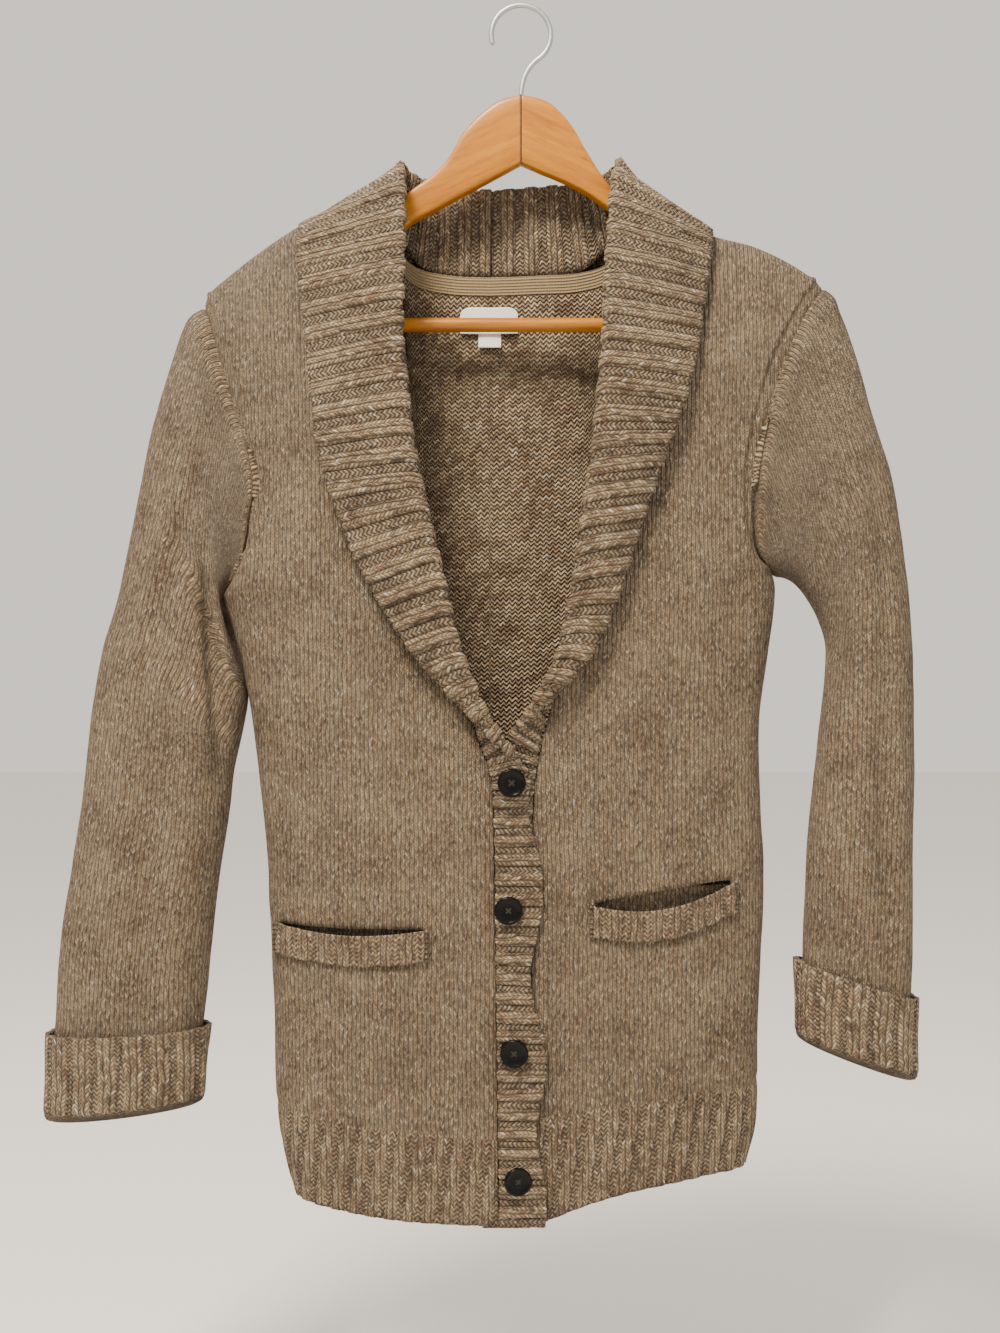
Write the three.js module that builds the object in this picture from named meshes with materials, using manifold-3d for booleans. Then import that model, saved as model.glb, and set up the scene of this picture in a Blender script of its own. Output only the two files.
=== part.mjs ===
// A hand-knit style shawl collar cardigan on a wooden bar hanger, in millimetres.
// +Z is up, -Y is the front of the garment and +X is the wearer's left.
// The origin is the inside top of the hanger's hook. Every cloth piece is a wall that is
// worked out from a surface function of two numbers: one across the piece, one down it.

import * as THREE from "three";
import Module from "manifold-3d";
import { mergeVertices } from "three/addons/utils/BufferGeometryUtils.js";

// ---------------------------------------------------------------- driving dimensions
const WALL = 3; // thickness of the knitted cloth
const SEAM_GAP = 0.3; // clearance between pieces that are sewn together
const RIDGE_RADIUS = 11.5; // outside radius of the cloth over the hanger's arm
const RIDGE_DRIFT = 60; // drop over which the cloth leaves the ridge for its hanging plane
const PIT_ROW = 0.42; // row fraction at which the armhole ends and the side seam begins
const SIDE_ROUNDING = 2.8; // exponent of the rounded side of the body
const CENTRE_BACK = -21; // x of the collar's centre back seam
const BAND_ROLL = 6; // last strip of the front band, in front of its free edge
const BACK_DEPTH = 30; // y of the back panel's hanging plane

const HOOK = { wire: 3.6, insideRadius: 19, stemFoot: -64 };
const ARM_THICKNESS = 13;
const BAR = { diameter: 10, length: 402, x: -6, z: -222 };
const BUTTON = { diameter: 19, thickness: 3.6, rim: 1.6, dish: 0.9, holeCircle: 2.5, hole: 1.5 };

// Named columns for a short table of rows.
function table(names, rows) {
  const columns = names.split(" ");
  return rows.map((row) => Object.fromEntries(columns.map((name, i) => [name, row[i]])));
}

// Each side: 1 is the wearer's left (+X), -1 the wearer's right.
const RIGHT = {
  name: "right",
  side: -1,
  depth: 45.3, // the right front laps over the left one
  neckPoint: { x: -92, z: -131.5 },
  tip: { x: -224, z: -211 },
  pit: { x: -207, z: -414 },
  pitLevel: -404, // height of the front edge at the pit's row
  hem: { inner: -838, outer: -826, bow: -2, back: -836 },
  armDepth: 27,
  ridge: table("x z", [
    [-76, -124.5], [-95, -133.5], [-120, -141.5], [-141, -148.5], [-156, -154], [-183, -172],
    [-206, -190], [-218, -201], [-224, -211],
  ]),
  frontEdge: table("z x", [
    [-131, -92], [-172, -93], [-233, -88], [-294, -79], [-355, -69], [-416, -57], [-464, -45],
    [-491, -37], [-520, -26], [-535, -21], [-551, -19], [-700, -17], [-840, -15],
  ]),
  outerEdge: table("z x", [
    [-211, -224], [-219, -219], [-254, -207], [-296, -191], [-334, -182], [-353, -185],
    [-381, -190], [-403, -200], [-414, -207], [-427, -203], [-460, -194], [-492, -188],
    [-540, -182], [-590, -177], [-646, -174], [-702, -172], [-751, -171], [-784, -168],
    [-811, -162], [-828, -157],
  ]),
  neck: table("x y z", [
    [-21, 24, -184], [-50, 23.5, -183], [-74, 20, -178], [-85, 17.5, -167], [-90, 14.5, -150],
    [-91.2, 11.5, -138], [-92, 0, -131.5],
  ]),
};
const LEFT = {
  name: "left",
  side: 1,
  depth: 41,
  neckPoint: { x: 80, z: -131.5 },
  tip: { x: 214, z: -198 },
  pit: { x: 174, z: -395 },
  pitLevel: -398,
  hem: { inner: -840, outer: -806, bow: 8, back: -836 },
  armDepth: 27,
  ridge: table("x z", [
    [59, -118.5], [79, -131], [107, -148], [134, -160], [162, -167.5], [186, -178.5], [204, -190],
    [214, -198],
  ]),
  frontEdge: table("z x", [
    [-131, 80], [-168, 75], [-233, 70], [-294, 63], [-355, 53], [-416, 40], [-464, 27], [-498, 17],
    [-524, 11], [-545, 8], [-600, 6], [-840, 6],
  ]),
  outerEdge: table("z x", [
    [-198, 214], [-214, 201], [-254, 180], [-301, 166], [-329, 161], [-357, 159], [-375, 160],
    [-387, 165], [-395, 174], [-410, 177], [-453, 172], [-499, 166], [-555, 167], [-611, 169],
    [-660, 167], [-709, 165], [-776, 164], [-806, 157],
  ]),
  neck: table("x y z", [
    [-21, 24, -184], [8, 23.5, -183], [45, 21, -181], [66, 18, -172], [77, 14.5, -150],
    [79, 11.5, -138], [80, 0, -131.5],
  ]),
};
const SIDES = [RIGHT, LEFT];

// Soft folds of the hanging body: centre line, reach and height of each. Positive stands out.
const FRONT_FOLDS = {
  right: table("x z lean width length height", [
    [-150, -330, 0.25, 22, 120, 4], [-176, -470, 0.15, 15, 90, -4], [-120, -560, 0.2, 26, 110, 3],
    [-80, -740, -0.05, 24, 90, 3], [-150, -720, 0.1, 20, 90, -3],
  ]),
  left: table("x z lean width length height", [
    [120, -400, -0.2, 20, 120, 4], [146, -520, -0.1, 15, 100, -4], [60, -600, -0.15, 22, 120, 3],
    [110, -740, 0.1, 24, 90, 4], [40, -760, 0, 18, 80, -3],
  ]),
};
const BACK_FOLDS = table("x z lean width length height", [
  [-110, -420, 0.2, 26, 150, 5], [90, -430, -0.2, 26, 150, 5], [-30, -560, 0.05, 30, 170, -4],
  [120, -700, 0.1, 24, 110, 4], [-120, -700, -0.1, 24, 110, 4],
]);

// Sleeve rings from the armhole to the cuff: outer edge, inner edge, half depth, y of the centre.
const RIGHT_SLEEVE = table("outerX outerZ innerX innerZ depth centreY", [
  [-236, -226, -209.5, -420, 28, 0], [-245, -252, -209, -432, 29, 0], [-258, -297, -204, -452, 30, 0],
  [-266, -338, -199, -476, 31, 0], [-280, -408, -198, -505, 31, -1], [-292, -450, -200, -532, 30, -2],
  [-299, -495, -204, -562, 29, -3], [-304, -545, -209, -598, 28, -4], [-312, -595, -214, -640, 27, -5],
  [-319, -645, -218, -680, 26, -6], [-324, -714, -222, -709, 25, -6],
]);
const LEFT_SLEEVE = table("outerX outerZ innerX innerZ depth centreY", [
  [223, -214, 184, -399, 28, 0], [234, -244, 192, -404, 29, 0], [248, -292, 200, -414, 30, 0],
  [258, -328, 208, -429, 31, 0], [266, -376, 213, -448, 31, -1], [271, -430, 212, -476, 30, -2],
  [273, -490, 208, -513, 29, -3], [273, -545, 203, -554, 28, -4], [272, -600, 199, -598, 27, -5],
  [271, -645, 197, -634, 26, -6], [270, -689, 196, -664, 25, -6],
]);
const RIGHT_CUFF = { outerX: -327, outerZ: -771, innerX: -225, innerZ: -759, stand: 4.5 };
const LEFT_CUFF = { outerX: 271, outerZ: -743, innerX: 196, innerZ: -716, stand: 4.5 };

// Shawl collar, one row for each section from the centre back to the first button. The first
// rows are sewn to the back neck at neckX, the others to the front edge at seamZ. The roll is the
// fold, the edge is the outer edge of the fall, and lift is its height over the front.
const RIGHT_BACK_COLLAR = table("neckX rollX rollY rollZ edgeX edgeY edgeZ", [
  [-21, -21, 28, -115, -21, 46, -196], [-50, -50, 27, -114, -60, 46, -192],
  [-75, -68, 21, -111, -104, 40, -186],
  [-90, -78, 12, -107, -134, 26, -170], [-91.2, -80, 6, -105, -145, 16, -158],
  [-92, -81, -3, -105, -152, 4, -149],
]);
const RIGHT_COLLAR = table("seamZ rollX rollY rollZ edgeX edgeZ lift", [
  [-136, -80.5, -12, -106, -153, -155, 5], [-150, -79, -22, -110, -153, -162, 5],
  [-175, -76, -38, -133, -152, -182, 6], [-215, -76, -52, -175, -148, -222, 7],
  [-260, -78, -59, -225, -143, -268, 8], [-305, -76, -62, -275, -138, -306, 9],
  [-345, -69, -64, -325, -129, -341, 9],
  [-385, -60, -64, -362, -113, -387, 9], [-425, -50, -64, -405, -91, -427, 9],
  [-460, -42, -63, -440, -70, -454, 9],
  [-485, -32, -61, -467, -49, -478, 9], [-505, -22, -59, -490, -31, -498, 9],
  [-520, -10, -56, -511, -13, -518, 10],
  [-533, 1, -49.8, -527, 7, -530, 3.5],
]);
const LEFT_BACK_COLLAR = table("neckX rollX rollY rollZ edgeX edgeY edgeZ", [
  [-21, -21, 28, -115, -21, 46, -196], [8, 8, 27, -114, 18, 46, -191], [45, 38, 22, -113, 66, 40, -186],
  [77, 63, 12, -107, 104, 27, -171], [79, 66, 6, -103, 122, 17, -162], [80, 67, -3, -102, 131, 4, -155],
]);
const LEFT_COLLAR = table("seamZ rollX rollY rollZ edgeX edgeZ lift", [
  [-136, 65.5, -12, -103, 131.5, -161, 8], [-150, 62, -22, -108, 131, -168, 5],
  [-175, 57, -38, -132, 129, -180, 6], [-215, 54, -50, -172, 125, -208, 7],
  [-260, 52, -56, -225, 120, -245, 8], [-305, 50, -58, -270, 109, -283, 9],
  [-345, 44, -59, -318, 96, -318, 9],
  [-385, 38, -59, -360, 83, -360, 9], [-425, 33, -58, -405, 67, -405, 9],
  [-460, 25, -56, -442, 50, -446, 9],
  [-482, 15, -54, -468, 32, -470, 8], [-502, 3, -50, -489, 12, -491, 6], [-520, -9, -46, -508, -5, -509, 3],
]);
const COLLAR_WALL = 3.2;
const BAND_LEVELS = [-547, -566, -592, -622, -652, -684, -722, -766, -804];

// Free edges of the two front bands below the collar.
const RIGHT_BAND_EDGE = table("z x", [
  [-536, 8], [-559, 3], [-595, 13], [-629, 13], [-665, 5], [-688, 8], [-726, 17], [-778, 9],
  [-811, 16], [-840, 16],
]);
const LEFT_BAND_EDGE = table("z x", [[-536, -20], [-600, -26], [-840, -26]]);

// Pocket welts: a strip on each front, and the mouth above it.
const WELTS = {
  right: { from: -63, to: -168, top: -638, height: 21, sag: 5, mouth: 5, lean: -0.02 },
  left: { from: 46, to: 146, top: -622, height: 21, sag: 10, mouth: 13, lean: 0.15 },
};
const WELT_LIFT = 0.7; // height of a welt over its front

// Centres of the four buttons on the right band.
const BUTTON_CENTRES = table("x z lift", [
  [-7, -539, 5.2], [-9, -625, 0.5], [-5, -721, 0.5], [-3, -807, 0.5],
]);

const COLOURS = {
  wool: "#9c8570", rib: "#a8927c", tape: "#9a8560", label: "#ece8e0",
  button: "#16161a", wood: "#c98a3c", steel: "#8f9296",
};

// ---------------------------------------------------------------- small helpers
const lerp = THREE.MathUtils.lerp;
const clamp = THREE.MathUtils.clamp;
const smooth = (t) => { const c = clamp(t, 0, 1); return c * c * (3 - 2 * c); };
function steps(count, from = 0, to = 1) {
  return Array.from({ length: count + 1 }, (_, i) => lerp(from, to, i / count));
}
const vec = (x, y, z) => new THREE.Vector3(x, y, z);

// A smooth value of one column of a table at any place along its key column.
function read(rows, key, at, column) {
  const rising = rows[rows.length - 1][key] > rows[0][key] ? 1 : -1;
  let i = 0;
  while (i < rows.length - 2 && (at - rows[i + 1][key]) * rising > 0) i += 1;
  const slope = (n) => {
    const a = rows[Math.max(n - 1, 0)];
    const b = rows[Math.min(n + 1, rows.length - 1)];
    return (b[column] - a[column]) / (b[key] - a[key]);
  };
  const span = rows[i + 1][key] - rows[i][key];
  const t = clamp((at - rows[i][key]) / span, 0, 1);
  const [p, q] = [rows[i][column], rows[i + 1][column]];
  const [m, n] = [slope(i) * span, slope(i + 1) * span];
  return p + t * m + t * t * (3 * (q - p) - 2 * m - n) + t * t * t * (2 * (p - q) + m + n);
}

// ---------------------------------------------------------------- body surfaces
function ridgeArc(drop) {
  const rise = 1 - clamp(drop, 0, RIDGE_RADIUS) / RIDGE_RADIUS;
  return RIDGE_RADIUS * Math.sqrt(1 - rise ** 2);
}

// Share of the way from the ridge to the hanging plane at a drop below the ridge.
const drift = (drop) => 1 - Math.exp(-Math.max(drop, 0) / RIDGE_DRIFT);
const hangingDepth = (drop, plane) => ridgeArc(drop) + (plane - RIDGE_RADIUS) * drift(drop);

function foldHeight(folds, x, z) {
  return folds.reduce((sum, fold) => {
    const down = (z - fold.z) / fold.length;
    const across = (x - fold.x - fold.lean * (z - fold.z)) / fold.width;
    return sum + fold.height * Math.exp(-down * down - across * across);
  }, 0);
}

// A height at row v of a panel's edge that runs from the top past the pit's row to the hem.
function edgeHeight(top, pit, hem, v) {
  return v <= PIT_ROW ? lerp(top, pit, v / PIT_ROW) : lerp(pit, hem, (v - PIT_ROW) / (1 - PIT_ROW));
}
const outerHeight = (s, v) => edgeHeight(s.tip.z, s.pit.z, s.hem.outer, v);
const frontHeight = (s, v) => edgeHeight(s.neckPoint.z, s.pitLevel, s.hem.inner, v);

// Half depth of the armhole's loop at a height between the shoulder tip and the pit.
function armholeDepth(s, z) {
  const level = clamp((2 * (z - s.pit.z)) / (s.tip.z - s.pit.z) - 1, -1, 1);
  return s.armDepth * (1 - Math.abs(level) ** 2.4) ** (1 / 2.4);
}

// Depth of a body panel: its hanging plane, rounded into the armhole or the side seam.
function bodyDepth(s, across, v, plane, zOuter) {
  const turn = smooth((v - 0.2) / (PIT_ROW - 0.2));
  const u = Math.min(across, 1);
  const rounded = plane * (1 - u ** SIDE_ROUNDING) ** (1 / SIDE_ROUNDING);
  if (v >= PIT_ROW) return rounded;
  const loop = armholeDepth(s, zOuter);
  const flat = lerp(plane, loop, u ** 2.2);
  const tucked = loop + (plane - loop) * (1 - u ** SIDE_ROUNDING) ** (1 / SIDE_ROUNDING);
  return lerp(flat, tucked, turn);
}

// A point of a front: a = 0 at the front edge and 1 at the armhole or side seam, v down.
function frontPoint(s, a, v) {
  const u = Math.sin((a * Math.PI) / 2);
  const zInner = frontHeight(s, v);
  const zOuter = outerHeight(s, v);
  const topX = lerp(s.neckPoint.x, s.tip.x, u);
  const ridge = read(s.ridge, "x", topX, "z");
  const x = lerp(read(s.frontEdge, "z", zInner, "x"), read(s.outerEdge, "z", zOuter, "x"), u);
  const bow = (ridge - lerp(s.neckPoint.z, s.tip.z, u)) * Math.exp(-((v / 0.2) ** 2));
  const z = lerp(zInner, zOuter, u) + bow + s.hem.bow * Math.sin(Math.PI * u) * v ** 4;
  const plane = hangingDepth(ridge - z, s.depth);
  const fold = foldHeight(FRONT_FOLDS[s.name], x, z) * Math.sin(Math.PI * u) * smooth((ridge - z - 20) / 60);
  return vec(x, -bodyDepth(s, u, v, plane, zOuter) - fold, z);
}

// A point of the back: a from -1 at the wearer's right seam to 1 at the left seam.
function backPoint(a, v) {
  const s = a < 0 ? RIGHT : LEFT;
  const u = Math.sin((Math.abs(a) * Math.PI) / 2);
  const topX = lerp(CENTRE_BACK, s.tip.x, u);
  const onNeck = (topX - s.neckPoint.x) * s.side < 0;
  const topZ = onNeck ? read(s.neck, "x", topX, "z") : read(s.ridge, "x", topX, "z");
  const topY = onNeck ? read(s.neck, "x", topX, "y") : 0;
  const zOuter = outerHeight(s, v);
  const g = (zOuter - s.tip.z) / (s.hem.outer - s.tip.z);
  const hem = lerp(s.hem.back, s.hem.outer, u ** 2);
  const x = lerp(CENTRE_BACK, read(s.outerEdge, "z", zOuter, "x"), u);
  const z = lerp(topZ, hem, g);
  const drop = topZ - z;
  const hanging = hangingDepth(drop, BACK_DEPTH);
  const plane = Math.max(hanging, topY * (1 - drift(drop)) + hanging * drift(drop));
  const fold = foldHeight(BACK_FOLDS, x, z) * (1 - u ** 4) * smooth((drop - 40) / 60);
  return vec(x, bodyDepth(s, u, v, onNeck && drop < 1e-6 ? topY : plane, zOuter) + fold, z);
}

// The unit normal of a surface function, on the side of the given direction.
function normalAt(surface, a, v, range, hint) {
  const h = 2e-3;
  const [a0, a1] = [Math.max(a - h, range[0]), Math.min(a + h, range[1])];
  const [v0, v1] = [Math.max(v - h, range[2]), Math.min(v + h, range[3])];
  const across = surface(a1, v).sub(surface(a0, v));
  const down = surface(a, v1).sub(surface(a, v0));
  const normal = across.cross(down).normalize();
  return normal.dot(hint) < 0 ? normal.negate() : normal;
}

// ---------------------------------------------------------------- making meshes
// A closed wall from a grid of {point, normal, out, inn}: out and inn are its two faces' offsets
// along the normal. When the grid is a tube its last column joins its first.
function wall(grid, tube = false) {
  const [rows, columns] = [grid.length, grid[0].length];
  const positions = [];
  for (const face of ["out", "inn"]) {
    for (const g of grid.flat()) {
      positions.push(...g.point.clone().addScaledVector(g.normal, g[face]).toArray());
    }
  }
  const id = (face, i, j) => face * rows * columns + i * columns + (j % columns);
  const index = [];
  const quad = (a, b, c, d) => index.push(a, b, c, a, c, d);
  const lastColumn = tube ? columns : columns - 1;
  for (let i = 0; i < rows - 1; i += 1) {
    for (let j = 0; j < lastColumn; j += 1) {
      quad(id(0, i, j), id(0, i + 1, j), id(0, i + 1, j + 1), id(0, i, j + 1));
      quad(id(1, i, j), id(1, i, j + 1), id(1, i + 1, j + 1), id(1, i + 1, j));
    }
    if (!tube) {
      quad(id(0, i, 0), id(1, i, 0), id(1, i + 1, 0), id(0, i + 1, 0));
      const end = columns - 1;
      quad(id(0, i, end), id(0, i + 1, end), id(1, i + 1, end), id(1, i, end));
    }
  }
  for (let j = 0; j < lastColumn; j += 1) {
    quad(id(0, 0, j), id(0, 0, j + 1), id(1, 0, j + 1), id(1, 0, j));
    quad(id(0, rows - 1, j), id(1, rows - 1, j), id(1, rows - 1, j + 1), id(0, rows - 1, j + 1));
  }
  return outwards(positions, index);
}

// A solid through rings of points, closed at both ends by a fan.
function loft(rings) {
  const count = rings[0].length;
  const positions = rings.flat().flatMap((p) => p.toArray());
  const index = [];
  for (let i = 0; i < rings.length - 1; i += 1) {
    for (let j = 0; j < count; j += 1) {
      const [a, b] = [i * count + j, i * count + ((j + 1) % count)];
      index.push(a, b, b + count, a, b + count, a + count);
    }
  }
  for (let j = 1; j < count - 1; j += 1) {
    index.push(0, j + 1, j);
    const last = (rings.length - 1) * count;
    index.push(last, last + j, last + j + 1);
  }
  return outwards(positions, index);
}

// Turns the faces so that they point out.
function outwards(positions, index) {
  const p = (i) => vec(positions[3 * i], positions[3 * i + 1], positions[3 * i + 2]);
  let volume = 0;
  for (let i = 0; i < index.length; i += 3) volume += p(index[i]).dot(p(index[i + 1]).cross(p(index[i + 2])));
  if (volume < 0) index.reverse();
  const geometry = new THREE.BufferGeometry();
  geometry.setAttribute("position", new THREE.Float32BufferAttribute(positions, 3));
  geometry.setIndex(index);
  return geometry;
}

const wasm = await Module();
wasm.setup();

function toManifold(geometry) {
  const bare = geometry.clone();
  bare.deleteAttribute("normal");
  bare.deleteAttribute("uv");
  const merged = mergeVertices(bare, 1e-4);
  const vertProperties = new Float32Array(merged.attributes.position.array);
  const triVerts = new Uint32Array(merged.index.array);
  return new wasm.Manifold(new wasm.Mesh({ numProp: 3, vertProperties, triVerts }));
}

function cut(geometry, tools) {
  const solid = tools.reduce((rest, tool) => rest.subtract(toManifold(tool)), toManifold(geometry));
  const mesh = solid.getMesh();
  const result = new THREE.BufferGeometry();
  result.setAttribute("position", new THREE.Float32BufferAttribute(mesh.vertProperties, 3));
  result.setIndex([...mesh.triVerts]);
  return result;
}

const group = new THREE.Group();
function addPiece(name, geometry, colour, roughness = 0.9, metalness = 0) {
  const material = new THREE.MeshStandardMaterial({ color: colour, roughness, metalness });
  const mesh = new THREE.Mesh(geometry, material);
  mesh.name = name;
  group.add(mesh);
  return mesh;
}

// ---------------------------------------------------------------- fronts, back and what lies on them
const ARM_ROWS = [0, 0.004, 0.012, 0.027, 0.05, 0.08, 0.13, 0.19, 0.25, 0.31, 0.37, 0.405, PIT_ROW];
const BODY_ROWS = [...ARM_ROWS, 0.48, 0.55, 0.62, 0.68, 0.74, 0.82, 0.91, 1];
const FRONT_COLUMNS = [0, 0.1, 0.19, 0.31, 0.43, 0.54, 0.64, 0.74, 0.83, 0.92, 1];
const BAG_ROWS = [0.68, 0.74, 0.82];
const BAG_COLUMNS = { right: [0.19, 0.92], left: [0.1, 0.74] };
const TAPE_ROWS = [0, 0.004, 0.012, 0.027];
const FORWARD = vec(0, -1, 0);
const BACKWARD = vec(0, 1, 0);

const HALF_WIDTH = 190; // of the body, for the slope of its rounded sides

// The direction out of a body panel: over the ridge it turns up, at the side seam it turns outward.
function bodyNormal(s, a, v, drop, facing) {
  const u = Math.sin((a * Math.PI) / 2);
  const turn = smooth((v - 0.2) / (PIT_ROW - 0.2));
  const outward = (turn * u ** (SIDE_ROUNDING - 1)) / HALF_WIDTH;
  const forward = lerp(1, (1 - u ** SIDE_ROUNDING) ** ((SIDE_ROUNDING - 1) / SIDE_ROUNDING), turn) / s.depth;
  const rise = clamp(1 - drop / RIDGE_RADIUS, 0, 1);
  const level = vec(s.side * outward, facing * forward, 0).setLength(Math.sqrt(1 - rise * rise));
  return level.setZ(rise);
}

// Samples a body panel. Its edges keep half a seam's clearance from the panel behind or before it.
function bodyGrid(surface, sideOf, columns, facing, onNeck = () => false) {
  return BODY_ROWS.map((v) => columns.map((a) => {
    const s = sideOf(a);
    const share = Math.abs(a);
    const point = surface(a, v);
    const drop = onNeck(a) ? RIDGE_RADIUS : surface(a, 0).z - point.z;
    if (share === 1 || (v === 0 && !onNeck(a))) point.y += facing * (SEAM_GAP / 2 + 0.01);
    return { point, normal: bodyNormal(s, share, v, drop, facing), out: 0, inn: -WALL };
  }));
}

function frontSurface(s) {
  return (a, v) => frontPoint(s, a, v);
}

// Finds the place on a front that is seen at x and z.
function placeOnFront(s, x, z) {
  let [a, v] = [0.5, 0.6];
  const h = 1e-4;
  for (let round = 0; round < 12; round += 1) {
    const here = frontPoint(s, a, v);
    const da = frontPoint(s, a + h, v).sub(here).divideScalar(h);
    const dv = frontPoint(s, a, v + h).sub(here).divideScalar(h);
    const [ex, ez] = [x - here.x, z - here.z];
    const det = da.x * dv.z - dv.x * da.z;
    a = clamp(a + clamp((ex * dv.z - dv.x * ez) / det, -0.3, 0.3), 0, 0.97);
    v = clamp(v + clamp((da.x * ez - ex * da.z) / det, -0.3, 0.3), 0.001, 0.998);
  }
  return { a, v };
}

// A patch that follows a front between two lines of constant share, moved along its normal.
function onFront(s, across, down, positionAt, out, inn) {
  return across.map((t) => down.map((d) => {
    const { x, z } = positionAt(t, d);
    const { a, v } = placeOnFront(s, x, z);
    const surface = frontSurface(s);
    return { point: surface(a, v), normal: normalAt(surface, a, v, [0, 1, 0, 1], FORWARD), out, inn };
  }));
}

const weltLine = (w, t) => w.top + w.lean * (lerp(w.from, w.to, t) - w.from) - w.sag * Math.sin(Math.PI * t);

function weltPosition(w) {
  return (t, d) => ({ x: lerp(w.from, w.to, t), z: weltLine(w, t) - w.height * d });
}

// The mouth starts behind the welt's top edge and gapes most in its middle.
function mouthPosition(w) {
  return (t, d) => {
    const along = lerp(0.05, 0.95, t);
    const gape = 3.5 + w.mouth * Math.sin(Math.PI * lerp(0.08, 0.92, t));
    return { x: lerp(w.from, w.to, along), z: weltLine(w, along) - 3 + gape * d };
  };
}

// Part of a panel's own grid, as another layer over or under it.
function layer(grid, rows, columns, keepRows, keepColumns, out, inn) {
  const kept = (_, j) => columns[j] >= keepColumns[0] && columns[j] <= keepColumns[1];
  const chosen = grid.filter((_, i) => keepRows.includes(rows[i]));
  return chosen.map((row) => row.filter(kept).map((g) => ({ ...g, out, inn })));
}
const UNDER = WALL + SEAM_GAP;
const BAG_WALL = 1.5;
const frontGrids = {};

// The room that a panel needs: its wall and the seam's clearance round it.
function seamed(grid, room = 2 * SEAM_GAP) {
  return wall(grid.map((row) => row.map((g) => ({ ...g, out: g.out + room, inn: g.inn - room }))));
}

for (const s of SIDES) {
  const w = WELTS[s.name];
  const grid = bodyGrid(frontSurface(s), () => s, FRONT_COLUMNS, -1);
  const mouth = wall(onFront(s, steps(10), [0, 1], mouthPosition(w), 4, -WALL - 2));
  frontGrids[s.name] = grid;
  addPiece(`${s.name}_front`, cut(wall(grid), [mouth]), COLOURS.wool);
  const welt = onFront(s, steps(10), steps(2), weltPosition(w), WELT_LIFT + WALL, WELT_LIFT);
  addPiece(`${s.name}_pocket_welt`, wall(welt), COLOURS.rib);
  const bag = layer(grid, BODY_ROWS, FRONT_COLUMNS, BAG_ROWS, BAG_COLUMNS[s.name], -UNDER, -UNDER - BAG_WALL);
  addPiece(`${s.name}_pocket_bag`, wall(bag), COLOURS.wool);
}

// The share of the back's half width at which the neck ends and the shoulder begins.
function neckShare(s) {
  return (2 / Math.PI) * Math.asin((s.neckPoint.x - CENTRE_BACK) / (s.tip.x - CENTRE_BACK));
}

function backHalf(s) {
  const share = neckShare(s);
  const neck = [0, 0.4, 0.75, 0.92, 0.965, 0.988, 1].map((t) => t * share);
  const shoulder = [0.13, 0.27, 0.42, 0.58, 0.75, 0.9, 1].map((t) => lerp(share, 1, t));
  return [...neck, ...shoulder];
}
const BACK_COLUMNS = [...backHalf(RIGHT).slice(1).reverse().map((a) => -a), ...backHalf(LEFT)];
const onNeckEdge = (a) => Math.abs(a) < neckShare(a < 0 ? RIGHT : LEFT) - 1e-6;
const backGrid = bodyGrid(backPoint, (a) => (a < 0 ? RIGHT : LEFT), BACK_COLUMNS, 1, onNeckEdge);
addPiece("back", wall(backGrid), COLOURS.wool);

// ---------------------------------------------------------------- sleeves

// The sleeve's points round the loop stand at the rows of the fronts and the back.
const LOOP_ANGLES = (() => {
  const down = ARM_ROWS.map((v) => Math.acos(clamp(1 - (2 * v) / PIT_ROW, -1, 1)));
  return [...down, ...down.slice(1, -1).reverse().map((angle) => 2 * Math.PI - angle)];
})();

// A place on the armhole's loop: 0 at the shoulder tip, half a turn at the pit.
function loopPoint(s, angle) {
  const z = lerp(s.tip.z, s.pit.z, (1 - Math.cos(angle)) / 2);
  return vec(read(s.outerEdge, "z", z, "x"), -Math.sign(Math.sin(angle)) * armholeDepth(s, z), z);
}

const SLEEVE_START = 0.12; // of the way from the armhole's own loop to the first ring
const ARMHOLE_REACH = 2.2; // rings over which the armhole's shape fades out
const SLEEVE_FLATNESS = 0.86; // exponent of a ring's half depth

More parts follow.
